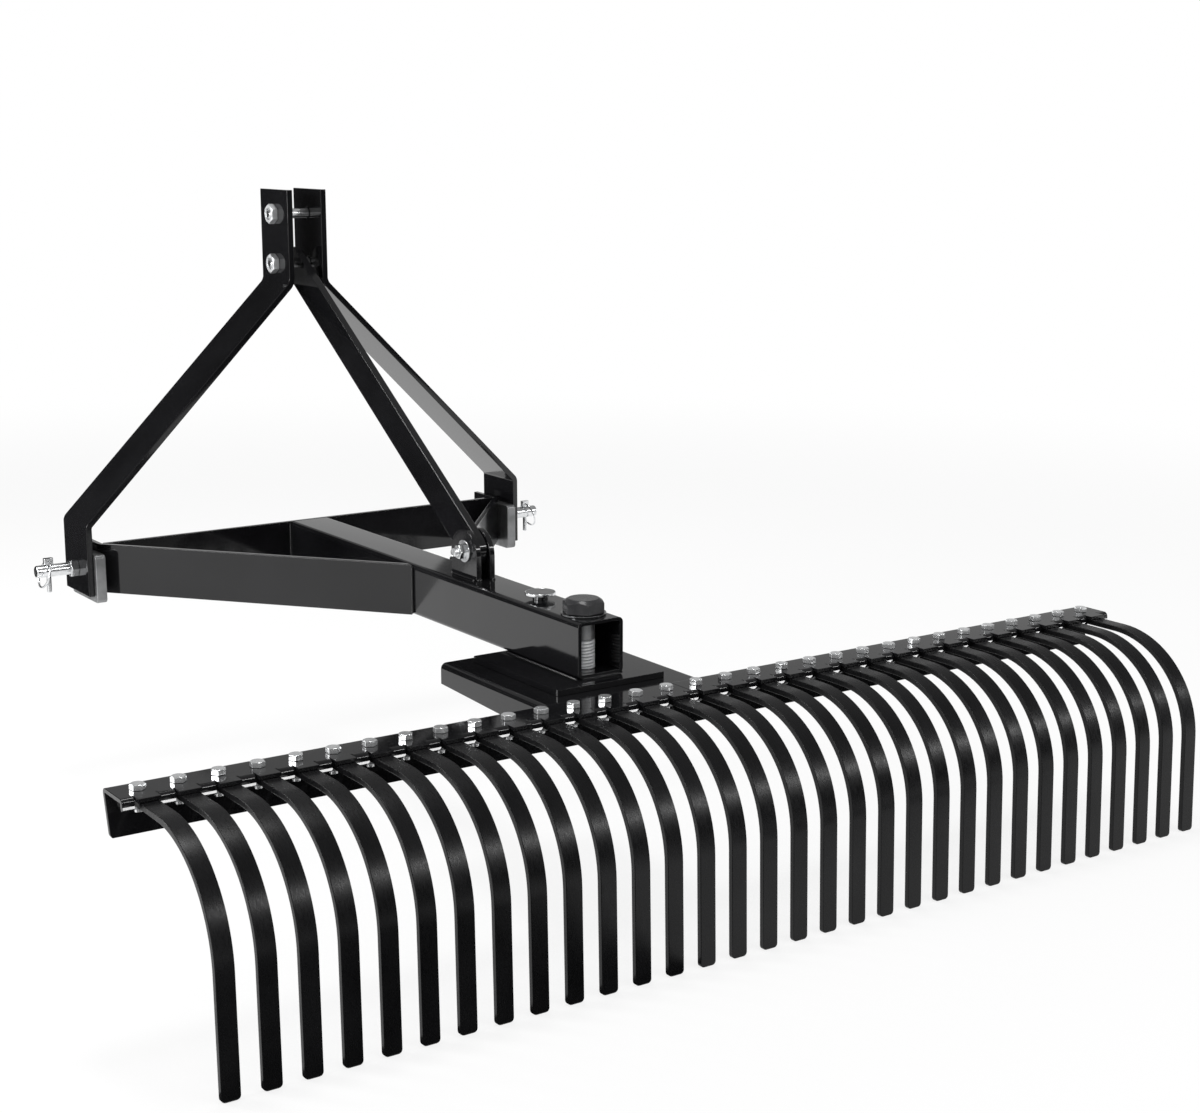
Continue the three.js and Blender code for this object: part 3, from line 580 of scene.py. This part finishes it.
def makePivot(v):
    place, turn, overlap = (0, v["y"]), math.radians(v["turn"]), v["overlap"]
    head = hexagonHead("z", v["flats"], place, v["headLow"], v["headHigh"], turn=turn, cone=v["dome"],
                       slope=v["domeSlope"])
    head = soften(head, v["edge"], 3, angle=v["domeAngle"])
    finishPiece("pivotBoltHead", head, "hitch_frame", darkBolt, ["pivot_bolt"])
    # the smooth shank is given the darker grey steel while the thread of the same bolt is bright zinc: painted
    # shade on the shank
    shank = joinedShapes(
        barrel("z", v["shank"], place, v["threadTop"], v["headLow"] + overlap, v["sides"]),
        barrel("z", v["shank"], place, v["nutHigh"], v["threadLow"], v["sides"]),
    )
    finishPiece("pivotBoltShank", shank, "hitch_frame", greySteelAndPaintedShade, ["pivot_bolt"])
    thread = joinedShapes(
        threadedRod("z", v["shank"], place, v["threadLow"], v["threadTop"] + v["threadPitch"], v["threadPitch"],
                    v["threadDepth"], v["threadCrest"], v["threadFlank"], v["sides"]),
        threadedRod("z", v["shank"], place, v["end"], v["nutLow"] + v["endThread"], v["endPitch"],
                    v["endDepth"], steps=v["sides"]),
    )
    finishPiece("pivotBoltThread", thread, "hitch_frame", threadZinc, ["pivot_bolt"])
    # a grey barrel just wider than the thread's root fills its grooves: painted shade between the bright crests
    root = barrel("z", v["shank"] - 2 * v["threadDepth"] + v["rootPlay"], place, v["nutLow"],
                  v["threadTop"] + overlap, v["sides"])
    finishPiece("pivotThreadRootPaintedShade", root, "hitch_frame", greySteelAndPaintedShade, ["pivot_bolt"])
    disc = cut(barrel("z", v["washer"], place, v["washerLow"], v["washerHigh"], v["washerSides"]),
               barrel("z", v["shank"] + v["washerPlay"], place, v["washerLow"] - overlap,
                      v["washerHigh"] + overlap, v["sides"]))
    finishPiece("pivotWasher", soften(disc, v["washerEdge"]), "hitch_frame", darkZincPaintedShade,
                ["pivot_washer"])
    nut = hexagonHead("z", v["flats"], place, v["nutLow"], v["nutHigh"], True, True, turn,
                      v["shank"] + v["nutPlay"])
    finishPiece("pivotNut", soften(nut, v["edge"], angle=boltAngle), "hitch_frame", darkBolt,
                ["pivot_nut"])


makePivot(pivot)

indexPin = {"y": -714, "head": 42, "headLow": 43.7, "headHigh": 47.9, "headSides": 72, "rim": 0.8,
            "rimWidth": 1.6, "rimRise": 0.2, "shank": 20, "shankSides": 40, "low": -45.8, "tip": 1.5,
            "sunk": 0.5, "overrun": 1}


def makeIndexPin(v):
    place, inside = (0, v["y"]), v["head"] - 2 * v["rimWidth"]
    # the rim keeps the bright zinc, while the head's top inside it and the shank take the darker zinc: painted
    # shade on one plated pin
    head = barrel("z", inside, place, v["headLow"], v["headHigh"] - v["rimRise"], v["headSides"])
    rim = cut(barrel("z", v["head"], place, v["headLow"], v["headHigh"], v["headSides"]),
              barrel("z", inside, place, v["headLow"] - v["overrun"], v["headHigh"] + v["overrun"],
                     v["headSides"]))
    plated("indexPinRim", soften(rim, v["rim"], 4), "index_pin", body="index_pin")
    shank = soften(barrel("z", v["shank"], place, v["low"], v["headLow"] + v["sunk"], v["shankSides"]),
                   v["tip"], 2)
    plated("indexPin", joinedShapes(head, shank), "index_pin", body="index_pin", material=darkZincPaintedShade)


makeIndexPin(indexPin)
print("pivot and index pin done")

# ---- yoke: cross bar and two arms; each arm is made too long, and a block cuts it off beside the boom
yoke = {"outer": 356.2, "front": 40, "cornerY": -26.3, "reach": -425, "boomSide": 35, "gap": 0.3,
        "excess": 60, "block": (400, 1200, 200), "blockY": -500, "thickness": 8, "half": 37.5, "bend": 18,
        "barFront": -19, "barRear": -27, "barHalf": 346.2, "pinHole": 18.8, "holeIn": 12, "holeOut": 4,
        "edge": 0.9}


def makeYoke(v):
    slope = (v["cornerY"] - v["reach"]) / (v["outer"] - v["boomSide"])
    line = [(v["outer"], v["front"]), (v["outer"], v["cornerY"]),
            (-v["excess"], v["reach"] - slope * (v["boomSide"] + v["excess"]))]
    blockX = v["boomSide"] + v["gap"] - v["block"][0] / 2
    for side, word in sides:
        outline = [(side * x, y) for x, y in barOutline(line, 0, -v["thickness"])]
        arm = slab("z", outline, -v["half"], v["half"], {1: v["bend"], 4: v["bend"] - v["thickness"]}, 8)
        low, high = both(v["outer"] - v["holeIn"], v["outer"] + v["holeOut"], side)
        arm = cut(arm, block(v["block"], (side * blockX, v["blockY"], 0)),
                  barrel("x", v["pinHole"], (0, 0), low, high))
        painted("yokeArm" + word, soften(arm, v["edge"]), "yoke_arm_" + word.lower())
    bar = slab("z", rectangle(-v["barHalf"], v["barRear"], v["barHalf"], v["barFront"]), -v["half"], v["half"])
    painted("yokeCrossBar", soften(bar, v["edge"]), "yoke_cross_bar")


makeYoke(yoke)

# ---- hitch lugs and mast legs
lug = {"inner": 356.5, "outer": 372.5, "rear": -56, "front": 48, "low": -48, "high": 26, "corner": 6,
       "edge": 1.4, "pinHole": 18.8, "overrun": 3}
leg = {"foot": -38, "footX": 382, "lowerBend": 71.4, "topX": 33.4, "upperBend": 420, "top": 562,
       "thickness": 9.2, "bend": 14, "half": 48, "edge": 0.9, "pinHole": 18.8, "boltHole": 18.8,
       "boltHeights": (524, 447), "holeIn": 15, "holeOut": 5}


def makeLug(v, side, word):
    plate = slab("x", rectangle(v["rear"], v["low"], v["front"], v["high"]),
                 *both(v["inner"], v["outer"], side), fourRounds(v["corner"]))
    low, high = both(v["inner"] - v["overrun"], v["outer"] + v["overrun"], side)
    plate = cut(plate, barrel("x", v["pinHole"], (0, 0), low, high))
    finishPiece("hitchLug" + word, soften(plate, v["edge"], 3), "hitch_frame", greySteelAndPaintedShade,
                ["hitch_lug_" + word.lower()])


def makeLeg(v, side, word):
    line = [(v["topX"], v["top"]), (v["topX"], v["upperBend"]), (v["footX"], v["lowerBend"]),
            (v["footX"], v["foot"])]
    outline = [(side * x, z) for x, z in barOutline(line, 0, -v["thickness"])]
    rounds = {1: v["bend"], 2: v["bend"], 5: v["bend"] - v["thickness"], 6: v["bend"] + v["thickness"]}
    bar = slab("y", outline, -v["half"], v["half"], rounds, 8)
    holes = [(v["boltHole"], z, v["topX"]) for z in v["boltHeights"]] + [(v["pinHole"], 0, v["footX"])]
    bar = cut(bar, *[barrel("x", hole, (0, z), *both(x - v["holeIn"], x + v["holeOut"], side))
                     for hole, z, x in holes])
    painted("mastLeg" + word, soften(bar, v["edge"]), "mast_leg_" + word.lower())


for side, word in sides:
    makeLug(lug, side, word)
    makeLeg(leg, side, word)
print("yoke, lugs and mast legs done")

# ---- mast bolts, through both legs
mastBolt = {"bolts": (("topLinkBolt", "top_link_bolt", 524), ("mastBolt", "mast_bolt", 447)), "seat": 33.7,
            "flats": 27, "head": 11, "nut": 10, "shank": 18, "rod": 15.6, "rodEnd": 0.6, "rodChamfer": 2.6,
            "sunk": 1, "edge": 0.3, "crease": 30}


def makeMastBolts(v):
    seat = v["seat"]
    for name, node, z in v["bolts"]:
        head = soften(hexagonHead("x", v["flats"], (0, z), seat, seat + v["head"]), v["edge"], angle=boltAngle)
        nut = hexagonHead("x", v["flats"], (0, z), -seat - v["nut"], -seat, False, True, bore=v["shank"])
        rod = soften(barrel("x", v["rod"], (0, z), -seat - v["nut"] - v["rodEnd"], seat + v["sunk"]),
                     v["rodChamfer"], 1)
        plated(name, joinedShapes(head, rod), node, crease=v["crease"])
        plated(name + "Nut", soften(nut, v["edge"], angle=boltAngle), node, material=boltZinc)


makeMastBolts(mastBolt)

# ---- rear brace, its ears on the boom, and their bolt
brace = {"foot": (-543, 76), "head": (0, 447), "half": 25, "thickness": 12, "edge": 0.9, "headHole": 18.8,
         "footHole": 12.8, "holeHalf": 12}
ear = {"middle": -538.5, "radius": 35, "low": 37.8, "roundHeight": 70.5, "inner": 7, "outer": 15, "edge": 0.9,
       "overrun": 3}
braceBolt = {"shank": 12, "flats": 19, "turn": 90, "seat": 15.3, "nut": 10, "nutPlay": 0.2, "head": 8,
             "washer": 32, "washerSides": 48, "washerThickness": 3, "washerPlay": 1, "washerEdge": 0.5,
             "edge": 0.3, "overlap": 1, "rodStart": 2, "threadStart": 3, "threadEnd": 7.5,
             "threadPitch": 1.75, "threadDepth": 0.9}


def makeBrace(v):
    foot, head, r = Vector(v["foot"]), Vector(v["head"]), v["half"]
    along = (head - foot).normalized()
    across = Vector((-along.y, along.x))
    outline = [foot - along * r - across * r, head + along * r - across * r,
               head + along * r + across * r, foot - along * r + across * r]
    bar = roundEnded("x", outline, -v["thickness"] / 2, v["thickness"] / 2, fourRounds(r))
    bar = cut(bar, barrel("x", v["headHole"], v["head"], -v["holeHalf"], v["holeHalf"]),
              barrel("x", v["footHole"], v["foot"], -v["holeHalf"], v["holeHalf"]))
    painted("rearBrace", soften(bar, v["edge"]), "rear_brace")


def makeEar(v, side, word):
    r, top = v["radius"], v["roundHeight"] + v["radius"]
    plate = roundEnded("x", rectangle(v["middle"] - r, v["low"], v["middle"] + r, top),
                       *both(v["inner"], v["outer"], side), {2: r, 3: r})
    low, high = both(v["inner"] - v["overrun"], v["outer"] + v["overrun"], side)
    plate = cut(plate, barrel("x", brace["footHole"], brace["foot"], low, high))
    painted("braceEar" + word, soften(plate, v["edge"]), "brace_ear_" + word.lower())


def makeBraceBolt(v):
    place, seat, turn = brace["foot"], v["seat"], math.radians(v["turn"])
    face = seat + v["washerThickness"]
    head = soften(hexagonHead("x", v["flats"], place, face, face + v["head"], turn=turn), v["edge"],
                  angle=boltAngle)
    nut = hexagonHead("x", v["flats"], place, -face - v["nut"], -face, False, True, turn,
                      v["shank"] + v["nutPlay"])
    washers = [cut(barrel("x", v["washer"], place, *both(seat, face, side), v["washerSides"]),
                   barrel("x", v["shank"] + v["washerPlay"], place,
                          *both(seat - v["overlap"], face + v["overlap"], side))) for side, _ in sides]
    thread = threadedRod("x", v["shank"], place, -face - v["nut"] - v["threadEnd"], -face + v["threadStart"],
                         v["threadPitch"], v["threadDepth"])
    rod = barrel("x", v["shank"], place, -face + v["rodStart"], face + v["overlap"])
    plated("braceBolt", joinedShapes(head, rod, thread), "brace_bolt")
    plated("braceBoltNut", soften(nut, v["edge"], angle=boltAngle), "brace_bolt")
    plated("braceBoltWashers", joinedShapes(*[soften(w, v["washerEdge"]) for w in washers]), "brace_bolt")


makeBrace(brace)
for side, word in sides:
    makeEar(ear, side, word)
makeBraceBolt(braceBolt)
print("brace and mast bolts done")

# ---- lower hitch pins with their linch pins and spring rings
hitchPin = {"barrel": 19, "barrelSides": 48, "collarFlats": 24, "collarInner": 382.3, "collarOuter": 394.3,
            "end": 446.3, "tipRound": 2.2, "nutFlats": 27, "nutOuter": 347.9, "nutInner": 331.9, "edge": 0.3,
            "thread": 18, "threadEnd": 327.3, "threadPitch": 2, "threadDepth": 1, "sunk": 1, "overlap": 2,
            "linchX": 426.3, "linchHole": 8.2, "linchHalf": 20}
linch = {"diameter": 7, "shaftSides": 28, "foot": -34, "footRound": 2.2, "sunk": 1,
         "hubLow": 10.1, "hubHigh": 19.5, "hubMiddle": 14.8, "hubLength": 15, "hubSides": 40, "hubWidth": 9,
         "hubEdge": 0.7, "trim": 40, "eye": 4.2, "eyeHalf": 20}
linchRing = {"radius": 20.5, "wire": 3, "wireSides": 14, "steps": 72, "lean": 18}


def makeHitchPin(v, side, word):
    node, overlap = "hitch_pin_" + word.lower(), v["overlap"]
    rod = barrel("x", v["barrel"], (0, 0), *both(v["collarInner"] + v["sunk"], v["end"], side),
                 v["barrelSides"])
    rod = cut(soften(rod, v["tipRound"], 3),
              barrel("z", v["linchHole"], (side * v["linchX"], 0), -v["linchHalf"], v["linchHalf"]))
    collar = hexagonHead("x", v["collarFlats"], (0, 0), *both(v["collarInner"], v["collarOuter"], side),
                         side > 0, side < 0, math.pi / 2)
    shank = barrel("x", v["thread"], (0, 0), *both(v["nutInner"] + overlap, v["collarInner"] + overlap, side))
    thread = threadedRod("x", v["thread"], (0, 0), *both(v["threadEnd"], v["nutOuter"] - overlap, side),
                         v["threadPitch"], v["threadDepth"])
    nut = hexagonHead("x", v["nutFlats"], (0, 0), *both(v["nutInner"], v["nutOuter"], side),
                      side < 0, side > 0)
    collar = soften(collar, v["edge"], angle=boltAngle)
    plated("hitchPin" + word, joinedShapes(rod, collar, shank, thread), node)
    plated("hitchPinNut" + word, soften(nut, v["edge"], angle=boltAngle), node)


def makeLinchPin(v, x, word):
    shaft = barrel("z", v["diameter"], (x, 0), v["foot"], v["hubLow"] + v["sunk"], v["shaftSides"])
    soften(shaft, v["footRound"], 4)
    hub = barrel("z", v["hubLength"], (x, 0), v["hubLow"], v["hubHigh"], v["hubSides"])
    # two flats on the hub, and the ring's eye across it
    reach = (v["hubWidth"] + v["trim"]) / 2
    trims = [block([v["trim"]] * 3, (x, front * reach, v["hubMiddle"])) for front in (-1, 1)]
    hub = cut(hub, *trims, barrel("y", v["eye"], (x, v["hubMiddle"]), -v["eyeHalf"], v["eyeHalf"]))
    soften(hub, v["hubEdge"], 3)
    low = word.lower()
    plated("linchPin" + word, joinedShapes(shaft, hub), "linch_pin_" + low, body="linch_" + low)


def makeLinchRing(v, x, side, word):
    ring = bmesh.new()
    wireRound = bmesh.ops.create_circle(ring, segments=v["wireSides"], radius=v["wire"] / 2 * mm)["verts"]
    bmesh.ops.rotate(ring, verts=wireRound, cent=(0, 0, 0), matrix=Matrix.Rotation(math.radians(90), 3, "X"))
    bmesh.ops.translate(ring, verts=wireRound, vec=(v["radius"] * mm, 0, 0))
    bmesh.ops.spin(ring, geom=ring.verts[:] + ring.edges[:], cent=(0, 0, 0), axis=(0, 0, 1), dvec=(0, 0, 0),
                   angle=2 * math.pi, steps=v["steps"], use_merge=True)
    bmesh.ops.remove_doubles(ring, verts=ring.verts[:], dist=1e-6)
    bmesh.ops.recalc_face_normals(ring, faces=ring.faces[:])
    # the ring hangs from the eye and leans outwards
    lean = math.radians(v["lean"])
    down = Vector((side * math.sin(lean), 0, -math.cos(lean)))
    stand = Matrix((Vector((0, 1, 0)), down, Vector((0, 1, 0)).cross(down))).transposed().to_4x4()
    bmesh.ops.transform(ring, matrix=stand, verts=ring.verts[:])
    centre = Vector((x, 0, linch["hubMiddle"])) * mm + down * v["radius"] * mm
    bmesh.ops.translate(ring, verts=ring.verts[:], vec=centre)
    low = word.lower()
    plated("linchRing" + word, ring, "linch_ring_" + low, body="ring_" + low)


for side, word in sides:
    linchX = side * hitchPin["linchX"]
    makeHitchPin(hitchPin, side, word)
    makeLinchPin(linch, linchX, word)
    makeLinchRing(linchRing, linchX, side, word)
print("hitch pins done")

# ---- rake head: mount box, beam in two halves
headBox = {"half": 122.35, "top": -46.1, "front": -655.5, "rear": -909.2, "wall": 5, "bend": 8, "edge": 0.8,
           "rearEdge": -86.6, "rearEdgeY": -917.5, "frontEdge": -75.1, "edgeExcess": 4, "channelRear": -930,
           "wedgeRear": -940, "wedgeFront": -640, "wedgeLow": -140, "cutterHalf": 200,
           "noseRear": -1000, "noseLow": -102.1, "noseLean": 8, "above": -20, "below": -100,
           "pivotY": -818, "pivotHole": 30.8, "indexHole": 21.2, "indexRadius": 104,
           "indexAngles": (-30, -15, 0, 15, 30)}
beam = {"shift": 74, "pitch": 47.6, "count": 32, "overhang": 29.2, "top": -46.1, "front": -903, "rear": -959.5,
        "wall": 5, "bend": 6, "flange": 56, "flangeLean": 14, "lip": 12, "lipLean": 2.2, "flare": 3,
        "flareLean": 1.45, "notch": 29, "notchRear": 6, "overrun": 4, "tongue": 26.6, "tongueReach": 7.5,
        "tongueRoot": 3, "corner": 6, "cornerSteps": 6, "cornerOut": 3, "cornerUnder": 2, "cornerRear": 25,
        "cornerFront": 5, "seam": 0.3, "edge": 0.5, "crease": 13, "boltLine": -933, "boltHole": 10.8,
        "boltHoleDepth": 12, "boltHoleSides": 20}


def tineX(index):
    return beam["shift"] + (index - (beam["count"] - 1) / 2) * beam["pitch"]


def makeMountBox(v):
    edge, inner, reach = v["rearEdge"] - v["edgeExcess"], v["bend"] - v["wall"], v["cutterHalf"]
    line = [(-v["half"], edge), (-v["half"], v["top"]), (v["half"], v["top"]), (v["half"], edge)]
    channel = slab("y", barOutline(line, 0, -v["wall"]), v["channelRear"], v["front"],
                   {1: v["bend"], 2: v["bend"], 5: inner, 6: inner}, 5)
    # the side walls get lower towards the front
    slope = (v["rearEdge"] - v["frontEdge"]) / (v["front"] - v["rearEdgeY"])
    wedge = slab("x", [(v["wedgeRear"], v["rearEdge"] + slope * (v["rearEdgeY"] - v["wedgeRear"])),
                       (v["wedgeFront"], v["frontEdge"] - slope * (v["wedgeFront"] - v["front"])),
                       (v["wedgeFront"], v["wedgeLow"]), (v["wedgeRear"], v["wedgeLow"])], -reach, reach)
    # the rear end follows the beam's front, 0.3 away from it
    nose = slab("x", [(v["noseRear"], v["above"]), (v["rear"], v["above"]), (v["rear"], v["top"]),
                      (v["rear"] - v["noseLean"], v["noseLow"]), (v["noseRear"], v["noseLow"])], -reach, reach)
    holes = [barrel("z", v["pivotHole"], (0, v["pivotY"]), v["below"], v["above"])]
    for angle in v["indexAngles"]:
        turn = math.radians(angle)
        place = (v["indexRadius"] * math.sin(turn), v["pivotY"] + v["indexRadius"] * math.cos(turn))
        holes.append(barrel("z", v["indexHole"], place, v["below"], v["above"]))
    channel = cut(channel, wedge)
    channel = cut(channel, nose)
    return soften(cut(channel, *holes), v["edge"])


painted("mountBox", makeMountBox(headBox), "mount_box", body="rake_head")


def makeBeamHalf(v, side):
    lipLow, flangeLow, lipRear = v["top"] - v["lip"], v["top"] - v["flange"], v["rear"] - v["lipLean"]
    # the lip's lowest stretch flares out a little and catches the light
    line = [(lipRear, lipLow), (lipRear + v["flareLean"], lipLow + v["flare"]), (v["rear"], v["top"]),
            (v["front"], v["top"]), (v["front"] - v["flangeLean"], flangeLow)]
    inner = v["bend"] - v["wall"]
    outer = tineX(v["count"] - 1 if side > 0 else 0) + side * v["overhang"]
    seam = v["shift"] + side * v["seam"] / 2
    channel = slab("x", barOutline(line, 0, -v["wall"]), *sorted((outer, seam)),
                   {2: v["bend"], 3: v["bend"], 6: inner, 7: inner}, 10)
    cutters, tongues = [], []
    notchFront = v["rear"] + v["bend"] + v["lipLean"]
    half, tongue, over = v["notch"] / 2, v["tongue"] / 2, v["overrun"]
    for index in range(v["count"]):
        x = tineX(index)
        if (x - v["shift"]) * side < 0:
            continue
        cutters.append(slab("y", rectangle(x - half, lipLow - over, x + half, v["top"] + over),
                            v["rear"] - v["notchRear"], notchFront))
        cutters.append(barrel("z", v["boltHole"], (x, v["boltLine"]), v["top"] - v["boltHoleDepth"],
                              v["top"] + over, v["boltHoleSides"]))
        tongues.append(slab("z", rectangle(x - tongue, v["rear"] - v["tongueReach"], x + tongue,
                                           notchFront + v["tongueRoot"]), v["top"] - v["wall"], v["top"]))
    # the flange's outer lower corner is round
    c, out, under = v["corner"], outer + side * v["cornerOut"], flangeLow - v["cornerUnder"]
    corner = [(out, flangeLow + c), (out, under), (outer - side * c, under)]
    for step in range(v["cornerSteps"] + 1):
        angle = math.radians(90 - 90 / v["cornerSteps"] * step)
        corner.append((outer - side * c * (1 - math.cos(angle)), flangeLow + c * (1 - math.sin(angle))))
    cutters.append(slab("y", corner, v["front"] - v["cornerRear"], v["front"] + v["cornerFront"]))
    channel = cut(channel, *cutters)
    # unclamped, because one stray vertex of the cuts would else leave every edge of the half sharp
    return soften(cut(channel, *tongues, operation="UNION"), v["edge"], clamp=False)


for side, word in sides:
    painted("rakeBeam" + word, makeBeamHalf(beam, side), "rake_beam_" + word.lower(), body="rake_head",
            crease=beam["crease"])
print("mount box and beam done")

# ---- tines, each with its bolt and its nut
tine = {"width": 22.4, "thickness": 7.5, "nose": -914, "top": -51.4, "flatEnd": -1010.5, "bend": 139,
        "angle": 88.6, "tip": -324.6, "tipCorner": 5, "tipSteps": 4, "tipBand": 0.5, "edge": 0.9,
        "edgeAngle": 40, "steps": 22}
tineBolt = {"flats": 16, "headLow": -45.8, "headHigh": -39.2, "nutHigh": -58.9, "nutLow": -67.3, "shank": 10,
            "shankSides": 20, "sunk": 1, "threadEnd": -71.3, "edge": 0.25}
# how each bolt was left standing to the camera: c with a corner, f with a flat, l or r with a flat to
# the left or right
boltStand = "ffclcffclcffccflcflcllllrcrflrll"
standTurn = {"c": 0, "f": 30, "l": 17, "r": -14}


def makeTine(v):
    half = v["thickness"] / 2
    middle = v["top"] - half
    angle = math.radians(v["angle"])
    radius = v["bend"] - half
    heel = v["flatEnd"] - radius * math.tan(angle / 2)
    tipY = heel - (middle - v["tip"]) / math.tan(angle)
    outline = barOutline([(v["nose"], middle), (heel, middle), (tipY, v["tip"])], half, -half)
    bm = slab("x", outline, -v["width"] / 2, v["width"] / 2, {1: v["bend"] - v["thickness"], 4: v["bend"]},
              v["steps"])

    def atTip(edge):
        # one of the two edges of the tip that run through the tine's thickness
        a, b = [vert.co for vert in edge.verts]
        return abs((a - b).x) < 1e-6 and max(a.z, b.z) < (v["tip"] + v["tipBand"]) * mm

    bmesh.ops.bevel(bm, geom=[e for e in bm.edges if atTip(e)], offset=v["tipCorner"] * mm,
                    offset_type="OFFSET", segments=v["tipSteps"], profile=0.5, affect="EDGES", material=-1)
    return soften(bm, v["edge"], 2, v["edgeAngle"])


def makeTineBolt(v):
    place = (0, beam["boltLine"])
    head = hexagonHead("z", v["flats"], place, v["headLow"], v["headHigh"])
    rod = barrel("z", v["shank"], place, v["threadEnd"], v["headLow"] + v["sunk"], v["shankSides"])
    return joinedShapes(soften(head, v["edge"], 1, boltAngle), rod)


def makeTineNut(v):
    nut = hexagonHead("z", v["flats"], (0, beam["boltLine"]), v["nutLow"], v["nutHigh"], False, True)
    return soften(nut, v["edge"], 1, boltAngle)


def copyAlong(bm, x, turn=0):
    copy = bm.copy()
    bmesh.ops.rotate(copy, verts=copy.verts[:], cent=(0, beam["boltLine"] * mm, 0),
                     matrix=Matrix.Rotation(turn, 3, "Z"))
    bmesh.ops.translate(copy, verts=copy.verts[:], vec=(x * mm, 0, 0))
    return copy


def boltTurn(index):
    # an unturned hexagon has a corner 30 degrees left of straight back: that corner is turned to the
    # camera, and then on by the bolt's stand
    eyeX, eyeY = photoCamera["place"][:2]
    bearing = math.atan2(tineX(index) - eyeX, beam["boltLine"] - eyeY)
    return math.radians(30 + standTurn[boltStand[index]]) - bearing


leafShape, boltShape, nutShape = makeTine(tine), makeTineBolt(tineBolt), makeTineNut(tineBolt)
for index in range(beam["count"]):
    number, x = "%02d" % (index + 1), tineX(index)
    node = "tine_" + number
    finishPiece("tineLeaf" + number, copyAlong(leafShape, x), "rake_head", tinePaint, [node])
    plated("tineBolt" + number, copyAlong(boltShape, x, boltTurn(index)), node, body="rake_head",
           material=tineZinc)
    plated("tineNut" + number, copyAlong(nutShape, x), node, body="rake_head", material=greySteelAndPaintedShade)
for shape in (leafShape, boltShape, nutShape):
    shape.free()
print("tines done")

# ---- weld beads, each by its width and its two ends; the frame's are given on the left and mirrored
frameWelds = {
    "BoomFoot": (4, (-35.4, -856, -37.6), (-35.4, -681, -37.6)),
    "CrossBar": (4.5, (-35.8, -28.2, -35), (-35.8, -28.2, 35)),
    "ArmEnd": (5.5, (-36.4, -426.5, -35), (-36.4, -426.5, 35)),
    "ArmCorner": (5, (-347.2, -28.4, -35), (-347.2, -28.4, 35)),
    "EarRear": (5.5, (-14.5, -574.8, 38.3), (-7.5, -574.8, 38.3)),
    "EarFront": (5.5, (-14.5, -502.2, 38.3), (-7.5, -502.2, 38.3)),
    "EarSide": (4.5, (-16.2, -570, 38.2), (-16.2, -507, 38.2)),
}
headWeld = (4.6, (-117, -904.6, -48.5), (117, -904.6, -48.5))
boomEndWeld = (3, (-29, -858.8, -37.5), (29, -858.8, -37.5))


def makeWelds(frameSide, boomEnd, boxRear):
    for name, (width, start, stop) in frameSide.items():
        for side, word in sides:
            bead = weldBead(*[(-side * x, y, z) for x, y, z in (start, stop)], width)
            painted("weld" + name + word, bead)
    painted("weldBoomEnd", weldBead(*boomEnd[1:], boomEnd[0]))
    painted("weldBoxRear", weldBead(*boxRear[1:], boxRear[0]), body="rake_head")


makeWelds(frameWelds, boomEndWeld, headWeld)
print("welds done")
